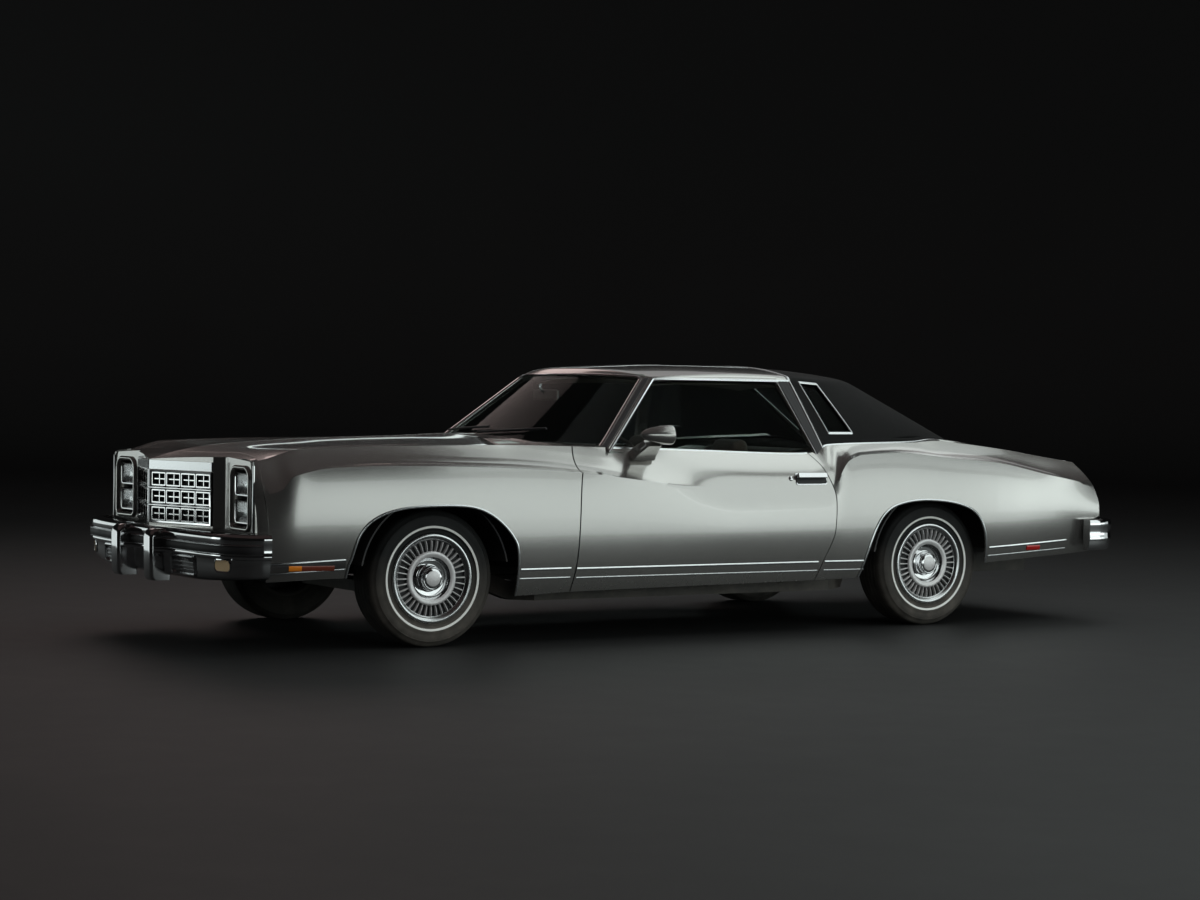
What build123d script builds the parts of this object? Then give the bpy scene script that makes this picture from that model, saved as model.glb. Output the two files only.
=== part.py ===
from build123d import *
import functools
import math
import os

# Personal luxury coupe. Millimetres, +Z up, the front of the car faces -Y and its left side is +X.
# The origin is on the floor under the middle of the overall length and width.

# Running gear
wheelbase = 2946
front_axle_y = -1564
rear_axle_y = front_axle_y + wheelbase
track_front = 1572
track_rear = 1552
tyre_radius = 323
tyre_width = 214
bead_radius = 190
cover_radius = 208
axle_z = tyre_radius
spindle_radius = 17
running_clearance = 0.05
kingpin_x = 716
ball_radius = 22
steer_angle = 33

# Overall body
nose_y = -2612
guard_front_y = -2709
tail_y = 2709
roof_height = 1345

# Panels and gaps
shut_gap = 6
seat_clearance = 0.3
panel_wall = 26
door_front_gap = 9
door_hinge_x = 950
door_hinge_y = -745
door_hinge_heights = (460, 740)
pin_radius = 7
hood_hinge_y = -935
hood_hinge_z = 905
deck_hinge_y = 1630
deck_hinge_z = 900
door_rear_taper = 9
hood_edge_x = 694
hood_front_y = -2368
hood_rear_y = -905
hood_wall = 24
deck_edge_x = 716
deck_front_y = 1752
deck_wall = 24
glass_wall = 5
pillar_wall = 42
floor_wall = 14
window_gap = 7
plate_spacing = 178
plate_height = 452
rear_plate_height = 446
plate_hole = 3.2


def along(position, keys):
    """Value at a position on a smooth curve through (position, value) keys, held flat past its ends."""
    if position <= keys[0][0]:
        return keys[0][1]
    if position >= keys[-1][0]:
        return keys[-1][1]
    index = max(i for i in range(len(keys) - 1) if keys[i][0] <= position)
    rises = [(b[1] - a[1]) / (b[0] - a[0]) for a, b in zip(keys, keys[1:])]

    def tangent(i):
        if i == 0:
            return rises[0]
        if i == len(keys) - 1:
            return rises[-1]
        before, after = rises[i - 1], rises[i]
        return 0 if before * after <= 0 else 2 * before * after / (before + after)

    (start, low), (end, high) = keys[index], keys[index + 1]
    span = end - start
    t = (position - start) / span
    return (
        low * (1 + 2 * t) * (1 - t) ** 2
        + high * t * t * (3 - 2 * t)
        + span * (tangent(index) * t * (1 - t) ** 2 - tangent(index + 1) * t * t * (1 - t))
    )


# Lines of the lower body, each as (y, value) keys
sill_line = [(-2440, 322), (-2037, 338), (-1128, 232), (-819, 243), (596, 260), (1000, 268), (1738, 322), (2480, 358)]
widest_line = [(-2460, 862), (-2420, 882), (-2250, 926), (-1950, 957), (-1564, 968), (-800, 970), (700, 970), (1382, 966),
               (1900, 946), (2250, 908), (2480, 868), (2640, 836)]
ridge_line = [(-2440, 700), (-2336, 748), (-2287, 806), (-2089, 845), (-1783, 852), (-1257, 840), (-800, 814),
              (-477, 778), (-127, 736), (126, 712), (560, 720), (700, 735), (790, 868), (880, 896), (1110, 905),
              (1440, 878), (1778, 851), (2126, 790), (2411, 745), (2640, 700)]
bulge_line = [(-2440, 0.0), (-2300, 0.7), (-2150, 1.0), (-900, 1.0), (-400, 0.7), (126, 0.0), (690, 0.0),
              (800, 1.0), (1900, 1.0), (2411, 0.5), (2600, 0.0)]
shoulder_x_line = [(-2460, 812), (-2208, 806), (-1162, 812), (-800, 836), (-560, 858), (668, 858), (1087, 834),
                   (1475, 800), (2453, 766), (2620, 752)]
shoulder_z_line = [(-2460, 866), (-2396, 879), (-2208, 926), (-1697, 939), (-1162, 944), (-760, 937), (-584, 932),
                   (-56, 915), (555, 896), (668, 904), (1087, 962), (1475, 976), (1644, 952), (1920, 920),
                   (2201, 881), (2453, 846), (2640, 820)]
crown_line = [(-2640, 912), (-2611, 916), (-2356, 940), (-2096, 951), (-1831, 957), (-1282, 972), (-999, 982),
              (-760, 984), (-500, 930), (600, 930), (1475, 990), (1700, 986), (1920, 954), (2201, 916), (2453, 878),
              (2640, 848)]
side_height = 600

# Edges of the openings and seams in side view, each as (y, z)
fender_front_edge = [(-2396, 100), (-2398, 500), (-2424, 870), (-2430, 1100)]
door_front_edge = [(-842, 190), (-836, 245), (-816, 397), (-806, 600), (-799, 780), (-781, 938), (-772, 1010)]
door_rear_edge = [(577, 190), (606, 263), (643, 363), (703, 515), (712, 667), (659, 820), (594, 911), (520, 1010)]
front_arch = [(-475, 180), (-463, 370), (-449, 425), (-410, 538), (-334, 610), (-207, 652), (-25, 665),
              (161, 657), (279, 612), (378, 523), (417, 428), (425, 180)]
rear_arch = [(-521, 180), (-473, 357), (-418, 510), (-355, 596), (-259, 642), (-95, 660), (104, 642),
             (240, 593), (310, 497), (341, 338), (349, 180)]
tail_face = [(2428, 900), (2500, 785), (2556, 700), (2586, 610), (2586, 548), (2524, 540), (2524, 437)]
tail_back = [(2494, 437), (2494, 568), (2554, 576), (2528, 684), (2472, 769), (2400, 884)]

# Posts of the greenhouse, each as (z, x, y) from the belt to above the roof
windshield_foot = [(860, 912, -684), (970, 842, -560), (1287, 640, -200), (1400, 568, -72)]
windshield_middle = [(860, 0, -940), (970, 0, -790), (1287, 0, -372), (1400, 0, -222)]
window_middle = [(860, 892, 60), (970, 828, 80), (1287, 640, 190), (1400, 572, 200)]
pillar_middle = [(860, 888, 690), (970, 826, 680), (1287, 636, 590), (1400, 566, 560)]
sail_middle = [(860, 850, 1260), (970, 806, 1190), (1287, 612, 860), (1400, 545, 720)]
backlight_foot = [(860, 745, 1830), (970, 680, 1640), (1287, 502, 1076), (1400, 440, 870)]
backlight_middle = [(860, 0, 1950), (970, 0, 1745), (1287, 0, 1140), (1400, 0, 930)]
roof_middle_line = [(-640, 1235), (-372, 1314), (-115, 1335), (132, roof_height), (512, roof_height - 1), (800, 1332),
                    (1078, 1302), (1300, 1262)]
roof_rail_line = [(-640, 1215), (-195, 1285), (0, 1297), (300, 1303), (562, 1297), (900, 1277), (1078, 1258),
                  (1300, 1218)]


def side_points(y):
    """Outer points of the left side from the sill to the middle of the top, as (x, z), at one y."""
    widest = along(y, widest_line)
    sill = along(y, sill_line)
    bulge = along(y, bulge_line)
    ridge = along(y, ridge_line)
    shoulder_x = along(y, shoulder_x_line)
    shoulder_z = along(y, shoulder_z_line)
    crown = along(y, crown_line)
    lean = (side_height - sill) / 350
    ridge_x = widest - 12 + 10 * bulge - (1 - bulge) * 0.05 * (ridge - side_height)
    hollow = 0.30 + 0.30 * bulge
    lift = 0.52 - 0.20 * bulge
    return {
        "sill": (widest - 44 * lean, sill),
        "low": (widest - 14 * lean, sill + 0.32 * (side_height - sill)),
        "wide": (widest, side_height),
        "ridge": (ridge_x, ridge),
        "shelf": (ridge_x - hollow * (ridge_x - shoulder_x), ridge + lift * (shoulder_z - ridge)),
        "shoulder": (shoulder_x, shoulder_z),
        "quarter": (shoulder_x * 0.55, shoulder_z + 0.74 * (crown - shoulder_z)),
        "crown": (0, crown),
    }


inset_ways = {"sill": (1, 0), "low": (1, 0), "wide": (1, 0), "ridge": (1, 0.2), "shelf": (0.8, 0.7),
              "shoulder": (0.6, 1), "quarter": (0, 1), "crown": (0, 1)}


def half_section(y, inset):
    """Closed half section of the lower body at y, its skin moved inwards by the inset."""
    points = {name: Vector(x - inset * inset_ways[name][0], y, z - inset * inset_ways[name][1])
              for name, (x, z) in side_points(y).items()}
    foot = points["sill"].Z - (60 if inset > 1 else 0)
    sill = Vector(points["sill"].X, y, foot)
    middle = Vector(0, y, foot)
    lower = Spline(sill, points["low"], points["wide"], points["ridge"])
    upper = Spline(points["ridge"], points["shelf"], points["shoulder"])
    top = Spline(points["shoulder"], points["quarter"], points["crown"])
    return Wire([lower, upper, top, Line(points["crown"], middle), Line(middle, sill)])


front_stations = (-2660, -2460, -2400, -2320, -2220, -2050, -1800, -1500, -1200, -900, -760, -640, -500)
door_stations = (-980, -820, -680, -500, -300, -100, 120, 350, 560, 720)
rear_stations = (560, 745, 880, 1100, 1450, 1700, 1950, 2200, 2420, 2640)


@functools.lru_cache(maxsize=None)
def half_body(stations, inset=0):
    """Solid left half of the lower body between its first and last stations."""
    return Solid.make_loft([half_section(y, inset) for y in stations])


def mirrored(shape):
    return mirror(shape, about=Plane.YZ)


def block(low, high):
    """Box from its low corner to its high corner."""
    size = [b - a for a, b in zip(low, high)]
    middle = [(a + b) / 2 for a, b in zip(low, high)]
    return Pos(*middle) * Box(*size)


def rod(start, end, radius):
    """Round bar between two points."""
    way = Vector(*end) - Vector(*start)
    return Plane(origin=start, z_dir=way) * Cylinder(radius, way.length, align=(Align.CENTER, Align.CENTER, Align.MIN))


def side_prism(points, low_x, high_x):
    """Outline of (y, z) points carried along X."""
    face = Face(Wire.make_polygon([(low_x, y, z) for y, z in points], close=True))
    return extrude(face, high_x - low_x, dir=(1, 0, 0))


def front_prism(points, low_y, high_y):
    """Outline of (x, z) points carried along Y."""
    face = Face(Wire.make_polygon([(x, low_y, z) for x, z in points], close=True))
    return extrude(face, high_y - low_y, dir=(0, 1, 0))


def plan_prism(points, low_z, high_z):
    """Outline of (x, y) points carried up Z."""
    face = Face(Wire.make_polygon([(x, y, low_z) for x, y in points], close=True))
    return extrude(face, high_z - low_z, dir=(0, 0, 1))


def seam_wire(front, rear, x, front_shift, rear_shift):
    """Closed wire in side view between a front seam and a rear seam, both smooth lines that run upwards."""
    ahead = [(x, y + front_shift, z) for y, z in front]
    behind = [(x, y + rear_shift, z) for y, z in rear]
    return Wire([Spline(*ahead), Line(ahead[-1], behind[-1]), Spline(*behind), Line(behind[0], ahead[0])])


def seam_prism(front, rear, low_x, high_x, front_shift=0, rear_shift=0, taper=0):
    """Space between two seams, narrowed at its rear by the taper on its inboard side."""
    inner = seam_wire(front, rear, low_x, front_shift, rear_shift - taper)
    outer = seam_wire(front, rear, high_x, front_shift, rear_shift)
    return Solid.make_loft([inner, outer], ruled=True)


def arch_prism(lip, axle_y):
    """Wheel opening in side view, carried through the side of the body."""
    points = [(600, axle_y + y, z) for y, z in lip]
    face = Face(Wire([Spline(*points), Line(points[-1], points[0])]))
    return extrude(face, 500, dir=(1, 0, 0))


# Lower body


def shell(stations, wall):
    return half_body(stations) - half_body(stations, wall)


def straight(y):
    return [(y, 100), (y, 1100)]


def fender():
    """Left front fender: side wall, top flange to the hood seam and the front wheel opening."""
    region = seam_prism(fender_front_edge, door_front_edge, hood_edge_x + shut_gap, 1100, 0, -door_front_gap)
    skin = (shell(front_stations, panel_wall) & region) - arch_prism(front_arch, front_axle_y)
    web = block((hood_edge_x + shut_gap, hood_rear_y, cowl_trough_z - 12), (hood_edge_x + shut_gap + 12, -800, 930))
    return skin + web


def door():
    """Left door, as thick as the whole door, with its hinge pockets and pins and a tapered rear face."""
    region = seam_prism(door_front_edge, door_rear_edge, 740, 1000, taper=door_rear_taper)
    inner = front_prism([(300, 100), (850, 100), (842, 330), (800, 900), (797, 1100), (300, 1100)], -1300, 1300)
    panel = (half_body(door_stations) & region) - inner
    for z in door_hinge_heights:
        panel = panel - block((700, -900, z - 20), (door_hinge_x + 12, door_hinge_y + 15, z + 20))
        panel = panel + rod((door_hinge_x, door_hinge_y, z - 21), (door_hinge_x, door_hinge_y, z + 21), pin_radius)
    return panel


def door_hinge_strap(z):
    """Body half of a door hinge, from the pillar out to an eye round the door's pin."""
    strap = block((hinge_pillar_x - 1, door_hinge_y - 11, z - 11), (door_hinge_x, door_hinge_y + 11, z + 11))
    strap = strap + rod((door_hinge_x, door_hinge_y, z - 11), (door_hinge_x, door_hinge_y, z + 11), 11)
    return strap - rod((door_hinge_x, door_hinge_y, z - 20), (door_hinge_x, door_hinge_y, z + 20),
                       pin_radius + running_clearance)


def mirror_housing():
    """Bullet mirror on a foot that stands on the door's belt."""
    head = Plane(origin=(996, -512, 966), z_dir=(0.08, 1, 0)) * extrude(Ellipse(88, 62), 190, taper=12)
    foot = loft([Plane.XY.offset(890) * Pos(868, -430) * Ellipse(26, 66),
                 Plane.XY.offset(958) * Pos(940, -424) * Ellipse(36, 60)])
    return head + (foot - (greenhouse(0, 0) & block((0, -1000, 932), (1100, 0, 1100))))


def door_handle():
    """Pull handle carried on two posts off the door's side."""
    grip = block((986, 480, 756), (996, 655, 776))
    posts = block((920, 484, 760), (990, 500, 772)) + block((920, 636, 760), (990, 652, 772))
    return grip + posts


def quarter():
    """Left rear quarter: side wall, thicker beside the rear seat, top flange and rear wheel opening."""
    flange = seam_prism(door_rear_edge, straight(2700), deck_edge_x + shut_gap, 1100, shut_gap)
    tail = side_prism([(500, 100), (2529, 100)] + [(y + 5, z) for y, z in reversed(tail_face[:-1])]
                      + [(2380, 1100), (500, 1100)], 0, 1100)
    skin = shell(rear_stations, panel_wall) & flange & tail
    trim = half_body(rear_stations, 1) & block((800, 560, 300), (1100, 985, 860))
    trim = trim & seam_prism(door_rear_edge, straight(985), 790, 1100, shut_gap)
    return (skin + trim) - arch_prism(rear_arch, rear_axle_y)


def across(half):
    """A half piece and its mirror image joined into one."""
    return half + mirrored(half)


def hood():
    """Hood sheet with a pair of hinge arms under its rear corners."""
    sheet = shell(front_stations, hood_wall) & block((-1, hood_front_y, 700), (hood_edge_x, hood_rear_y, 1100))
    arm = block((652, hood_hinge_y - 16, hood_hinge_z), (664, hood_hinge_y + 16, 938))
    arm = arm + rod((652, hood_hinge_y, hood_hinge_z), (664, hood_hinge_y, hood_hinge_z), 16)
    arm = arm - rod((600, hood_hinge_y, hood_hinge_z), (700, hood_hinge_y, hood_hinge_z), pin_radius + running_clearance)
    return across(sheet + arm)


def hood_hinge_bracket():
    """Bracket on the firewall with the pin that carries the hood's arm."""
    plate = block((670, hood_hinge_y - 14, 840), (682, hood_hinge_y + 8, hood_hinge_z + 12))
    plate = plate + block((670, hood_hinge_y - 14, 840), (682, -890, cowl_trough_z - 12 - seat_clearance))
    return plate + rod((640, hood_hinge_y, hood_hinge_z), (676, hood_hinge_y, hood_hinge_z), pin_radius)


def cowl_panel():
    """Recessed trough between the hood and the windshield, with an upstand under the glass."""
    plan = [(0, hood_rear_y + shut_gap), (hood_edge_x + shut_gap - seat_clearance, hood_rear_y + shut_gap),
            (hood_edge_x + shut_gap - seat_clearance, door_hinge_y - 50), (770, door_hinge_y - 50), (770, -560), (0, -560)]
    outer = Face(greenhouse_outline(windshield_foot_z, 0))
    inner = Face(greenhouse_outline(windshield_foot_z, 30))
    height = windshield_foot_z - cowl_trough_z + 12
    upstand = extrude(outer, height, dir=(0, 0, -1)) - extrude(inner, height, dir=(0, 0, -1))
    upstand = upstand & block((0, -1000, 0), (790, -560, 1100))
    trough = plan_prism(plan, cowl_trough_z - 12, cowl_trough_z) - extrude(outer, 200, dir=(0, 0, -1))
    return across(trough + upstand)


def deck_lid():
    """Lid of the luggage space, flush with the sloped tail at its rear edge."""
    sheet = shell(rear_stations, deck_wall) & block((-1, 1600, 700), (deck_edge_x, 2600, 1100))
    front = [(deck_front_y - 50, 1100), (deck_front_y, 985), (deck_front_y + 28, 940), (deck_front_y + 28, 700)]
    end = side_prism(front + [(y, z) for y, z in reversed(tail_face[:4])] + [(2380, 1100)], -1, 1000)
    neck = [(-14, -14), (18, -44), (90, -150), (168, -152), (206, 10), (206, 44), (190, 44), (176, -60), (150, -132),
            (96, -132), (16, 14), (-14, 14)]
    arm = side_prism([(deck_hinge_y + y, deck_hinge_z + z) for y, z in neck], 514, 528)
    arm = arm - rod((500, deck_hinge_y, deck_hinge_z), (540, deck_hinge_y, deck_hinge_z), pin_radius + running_clearance)
    return across((sheet & end) + (arm & half_body(rear_stations, deck_wall - 2)))


def deck_hinge_bracket():
    """Bracket on the package shelf with the pin that carries the lid's arm."""
    plate = block((492, deck_hinge_y - 24, package_shelf_z), (506, deck_hinge_y + 24, deck_hinge_z + 14))
    return plate + rod((499, deck_hinge_y, deck_hinge_z), (536, deck_hinge_y, deck_hinge_z), pin_radius)


def deck_filler():
    """Fixed panel between the rear window and the deck lid."""
    sheet = shell(rear_stations, deck_wall) & block((-1, 1480, 800), (deck_edge_x, deck_front_y - shut_gap, 1100))
    return across(sheet - greenhouse(0, 0))


def nose_outline(inset, back_y):
    """Plan of the nose, a shallow V at the grille and a straight run over the lamps."""
    front = [(0, nose_y), (452, -2484), (520, -2447), (842, -2455), (960, -2428)]
    front = [(x, y + inset) for x, y in front]
    return [(-1, front[0][1])] + front[1:] + [(960, back_y), (-1, back_y)]


grille_low = 560
grille_high = 808
grille_half = 462
lamp_low_x = 548
lamp_high_x = 762
lamp_low_z = 556
lamp_high_z = 832


def header_panel():
    """Nose shell that carries the grille and the lamps, open behind and below."""
    wall = 34
    outer = half_body(front_stations) & plan_prism(nose_outline(0, hood_front_y - shut_gap), 528, 1000)
    side_cut = seam_prism([(-2660, 100), (-2660, 1100)], fender_front_edge, hood_edge_x - 20, 1100,
                          rear_shift=-seat_clearance)
    middle = block((-1, -2700, 500), (hood_edge_x - 20, -2300, 1000))
    outer = outer & (side_cut + middle)
    inner = half_body(front_stations, wall) & plan_prism(nose_outline(wall, hood_front_y + 20), 500, 1000)
    grille_hole = block((-1, -2700, grille_low), (grille_half, -2440, grille_high))
    lamp_hole = block((lamp_low_x, -2700, lamp_low_z), (lamp_high_x, -2380, lamp_high_z))
    return across(outer - inner - grille_hole - lamp_hole)


def tail_panel():
    """Sloped rear face under the deck lid, between the quarters."""
    band = side_prism(tail_face + tail_back, -1, 830) & half_body(rear_stations, panel_wall + 1)
    under_lid = half_body(rear_stations, deck_wall + shut_gap)
    beside_lid = block((deck_edge_x + 2 * shut_gap, 2300, 300), (900, 2700, 1000))
    return across((band & under_lid) + (band & beside_lid))


# Greenhouse


def post(keys, z, inset, way):
    """Point of a post at one height, moved inwards along a plan direction by the inset."""
    x = along(z, [(height, side) for height, side, _ in keys])
    y = along(z, [(height, length) for height, _, length in keys])
    return Vector(x + way[0] * inset, y + way[1] * inset, z)


def greenhouse_outline(z, inset):
    """Closed left half plan of the greenhouse at one height."""
    nose = post(windshield_middle, z, inset, (0, 1.1))
    foot = post(windshield_foot, z, inset, (-1, 0.9))
    window = post(window_middle, z, inset, (-1, 0))
    pillar = post(pillar_middle, z, inset, (-1, 0))
    sail = post(sail_middle, z, inset, (-1, -0.2))
    heel = post(backlight_foot, z, inset, (-0.8, -1))
    tail = post(backlight_middle, z, inset, (0, -1.1))
    bow = Vector(foot.X * 0.6, nose.Y + 0.30 * (foot.Y - nose.Y), z)
    stern = Vector(heel.X * 0.6, tail.Y + 0.32 * (heel.Y - tail.Y), z)
    return Wire([Spline(nose, bow, foot), Spline(foot, window, pillar, sail, heel), Spline(heel, stern, tail),
                 Line(tail, nose)])


def roof_section(y, inset):
    """Closed left half section under the roof's crown at y."""
    middle_z = along(y, roof_middle_line) - inset
    rail_z = along(y, roof_rail_line) - inset
    edge_z = rail_z - 0.75 * (middle_z - rail_z)
    top = ThreePointArc((0, y, middle_z), (520, y, rail_z + 0.36 * (middle_z - rail_z)), (900, y, edge_z - 60))
    return Wire([top, Line((900, y, edge_z - 60), (900, y, 700)), Line((900, y, 700), (0, y, 700)),
                 Line((0, y, 700), (0, y, middle_z))])


@functools.lru_cache(maxsize=None)
def greenhouse(inset, roof_inset):
    """Solid left half of the greenhouse, its walls and its roof moved inwards by two insets."""
    sides = Solid.make_loft([greenhouse_outline(z, inset) for z in (880, 970, 1060, 1180, 1287, 1380)])
    crown = Solid.make_loft([roof_section(y, roof_inset) for y in (-1000, -640, -372, -115, 200, 512, 800, 1078, 1300, 1900)])
    return sides & crown


def door_window(gap):
    """Door window opening in side view, shrunk by a gap."""
    points = [(-652 + gap, 860), (-566 + gap * 1.1, 942), (-206 + gap * 1.2, 1272 - gap), (548 - gap * 1.2, 1268 - gap),
              (640 - gap * 1.2, 935), (652 - gap * 1.2, 860)]
    return side_prism(points, 420, 1000)


def opera_window():
    return side_prism([(690, 1262), (806, 1254), (926, 1003), (770, 1003)], 420, 1000)


def windshield_opening():
    return front_prism([(-1, 920), (826, 920), (800, 982), (600, 1272), (560, 1282), (-1, 1290)], -1200, -172)


def backlight_opening():
    return front_prism([(-1, 985), (628, 985), (470, 1246), (430, 1258), (-1, 1268)], 1020, 1950)


def roof_split(low_x, high_x):
    """Space behind the band where the landau covering starts."""
    return side_prism([(700, 860), (700, 938), (622, 1309), (600, 1420), (2200, 1420), (2200, 860)], low_x, high_x)


def roof_shell():
    """Left half of the roof with its pillars, with the glass openings cut."""
    solid = greenhouse(0, 0) - greenhouse(pillar_wall, 30)
    solid = solid - over_door() - half_body(rear_stations, -seat_clearance)
    solid = solid - block((-10, -1200, 860), (1000, 604, windshield_foot_z + seat_clearance))
    solid = solid - block((-10, 600, 860), (1000, 2200, 900))
    return solid - door_window(0) - opera_window() - windshield_opening() - backlight_opening()


def roof_panel():
    """Painted front of the roof with the windshield pillars, the rails and the door pillars."""
    return across(roof_shell() - roof_split(-10, 1000))


def landau_roof():
    """Covered rear of the roof with its wide sail panels."""
    return across(roof_shell() & roof_split(-10, 1000))


def over_door():
    """Door's belt with the gap round it, which the fixed pieces above stay out of."""
    return half_body(door_stations, -shut_gap) & block((780, -1000, 500), (1100, 604, 1100))


def glass_sheet(opening):
    """Left half of a glass sheet that fills an opening."""
    sheet = greenhouse(9, 9) - greenhouse(9 + glass_wall, 9 + glass_wall)
    return sheet & opening


# Nose fittings


def facing(x, y, z, turn):
    """Plane on the nose that faces forwards, turned about the vertical."""
    return Location((x, y, z), (0, 0, turn))


grille_turn = math.degrees(math.atan2(-2484 - nose_y, 452))
grille_depth = 40
grille_rim = 11
block_rows = 3
block_columns = 4
block_frame = 9
cell_bar = 5


def grille():
    """Bright grille in a shallow V: rows of framed blocks on each side, each split into four cells."""
    width = grille_half / math.cos(math.radians(grille_turn)) + 20
    inner_width = grille_half / math.cos(math.radians(grille_turn)) - 2 * grille_rim
    column = inner_width / block_columns
    row = (grille_high - grille_low - 2 * grille_rim) / block_rows
    cell_width = (column - block_frame - cell_bar) / 2
    cell_height = (row - block_frame - cell_bar) / 2
    half = block((-20, 0, grille_low + seat_clearance), (width, grille_depth, grille_high - seat_clearance))
    cells = []
    for i in range(block_columns):
        for j in range(block_rows):
            left = grille_rim + i * column + block_frame / 2
            foot = grille_low + grille_rim + j * row + block_frame / 2
            for x in (left, left + cell_width + cell_bar):
                for z in (foot, foot + cell_height + cell_bar):
                    cells.append(block((x, -1, z), (x + cell_width, grille_depth + 1, z + cell_height)))
    half = Location((0, nose_y + 3, 0), (0, 0, grille_turn)) * (half - cells)
    return across(half & block((0, -3000, 500), (grille_half - seat_clearance, -2000, 900)))


def lamp_unit(z):
    """One rectangular sealed beam, its lens slightly domed."""
    body = block((572, -2436, z - 52), (738, -2376, z + 52))
    return fillet(body.edges().filter_by(Axis.Y), 18)


def headlamps():
    """Four lamps, two stacked on each side."""
    left = [lamp_unit(634), lamp_unit(754)]
    return Compound(children=left + [mirrored(lamp) for lamp in left])


def lamp_bezels():
    """Rounded bright frames round each stack of lamps."""
    low = (lamp_low_x + seat_clearance, -2458, lamp_low_z + seat_clearance)
    high = (lamp_high_x - seat_clearance, -2400, lamp_high_z - seat_clearance)
    frame = fillet(block(low, high).edges().filter_by(Axis.Y), 26)
    for z in (634, 754):
        frame = frame - fillet(block((571.7, -2500, z - 52.3), (738.3, -2300, z + 52.3)).edges().filter_by(Axis.Y), 18)
    return Compound(children=[frame, mirrored(frame)])


def bumper_plan(front, depth, back_y):
    """Plan outline of half a front bumper whose face lies at the front y."""
    outer = [(0, front), (470, front + 8), (770, front + 42), (905, front + 110), (952, front + 190), (956, back_y)]
    inner = [(956 - depth, back_y), (940 - depth, front + 200), (880 - depth, front + 130 + depth * 0.4),
             (740, front + 42 + depth), (460, front + 8 + depth), (0, front + depth)]
    edges = [Spline(*[(x, y, 0) for x, y in outer[:5]]), Line(outer[4], outer[5]), Line(outer[5], inner[0]),
             Line(inner[0], inner[1]), Spline(*[(x, y, 0) for x, y in inner[1:]]), Line(inner[5], outer[0])]
    return Face(Wire(edges))


front_bumper_y = -2642
bumper_end_y = -2404


def front_bumper():
    """Bright bar in two tiers, wrapped round the corners, with two upright guards and plate holes."""
    upper = Pos(0, 0, 432) * extrude(bumper_plan(front_bumper_y, 46, bumper_end_y), 84, dir=(0, 0, 1))
    lower = Pos(0, 0, 318) * extrude(bumper_plan(front_bumper_y + 16, 34, bumper_end_y), 116, dir=(0, 0, 1))
    bar = across(upper) + across(lower)
    guard = block((158, guard_front_y, 300), (248, -2600, 532))
    guard = fillet(guard.edges().filter_by(Axis.Z).group_by(Axis.Y)[0], 22)
    bar = bar + guard + mirrored(guard)
    for x in (-plate_spacing / 2, plate_spacing / 2):
        bar = bar - rod((x, front_bumper_y - 40, plate_height), (x, front_bumper_y + 80, plate_height), plate_hole)
    arm = block((410, -2612, 350), (480, -2560 - seat_clearance, 420))
    pocket = block((park_low_x - seat_clearance, -2700, 386 - seat_clearance), (park_high_x + seat_clearance, -2562,
                                                                           428 + seat_clearance))
    bar = bar - pocket - mirrored(pocket)
    return bar + arm + mirrored(arm)


park_low_x = 738
park_high_x = 828


def park_lamps():
    """Small amber lamps let into the lower bar."""
    lamp = block((park_low_x, -2588, 386), (park_high_x, -2562 - seat_clearance, 428))
    return Compound(children=[lamp, mirrored(lamp)])


def rear_bumper():
    """Bright rear bar wrapped round the corners, with plate holes."""
    outer = [(0, tail_y), (470, tail_y - 8), (740, tail_y - 40), (868, tail_y - 104), (918, tail_y - 180)]
    inner = [(876, tail_y - 190), (830, tail_y - 122), (700, tail_y - 92), (460, tail_y - 60), (0, tail_y - 52)]
    edges = [Spline(*[(x, y, 0) for x, y in outer]), Line(outer[-1], (938, 2466)), Line((938, 2466), (886, 2466)),
             Line((886, 2466), inner[0]), Spline(*[(x, y, 0) for x, y in inner]), Line(inner[-1], outer[0])]
    bar = across(Pos(0, 0, 352) * extrude(Face(Wire(edges)), 188, dir=(0, 0, 1)))
    for x in (-plate_spacing / 2, plate_spacing / 2):
        bar = bar - rod((x, tail_y - 100, rear_plate_height), (x, tail_y + 20, rear_plate_height), plate_hole)
    arm = block((505, 2560 + seat_clearance, 380), (565, 2652, 435))
    return bar + arm + mirrored(arm)


# Glass, lamps and cabin


def fixed_glass():
    """Windshield, rear window and the two slanted side windows."""
    above_cowl = block((-1, -1200, windshield_foot_z + seat_clearance), (1000, 0, 1400))
    windshield = across((glass_sheet(windshield_opening()) & above_cowl) - over_door())
    backlight = across(glass_sheet(backlight_opening()))
    side = glass_sheet(opera_window())
    return Compound(children=[windshield, backlight, side, mirrored(side)])


def door_glass():
    """Frameless door glass that stands on the door's belt."""
    sheet = glass_sheet(door_window(window_gap)) - half_body(door_stations, -seat_clearance)
    return sheet.solids().sort_by(SortBy.VOLUME)[-1]


def tail_lamps():
    """Upright red lamps on the tail panel, one at each corner."""
    top, bend, foot = tail_face[1:4]
    seat_line = [((top[0] + bend[0]) / 2, (top[1] + bend[1]) / 2), bend, ((bend[0] + foot[0]) / 2, (bend[1] + foot[1]) / 2)]
    inner = [(y + seat_clearance, z + seat_clearance) for y, z in seat_line]
    outer = [(y + 20, z + 8) for y, z in reversed(seat_line)]
    lamp = side_prism(inner + outer, 716, 796)
    return Compound(children=[lamp, mirrored(lamp)])


column_start = (405, -560, 652)
wheel_centre = (405, -196, 790)
column_gap = 6
rim_radius = 192
shaft_radius = 12


def along_column(distance):
    """Point on the steering column's line, measured from the wheel's centre towards the dash."""
    way = (Vector(*column_start) - Vector(*wheel_centre)).normalized()
    return Vector(*wheel_centre) + way * distance


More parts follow.
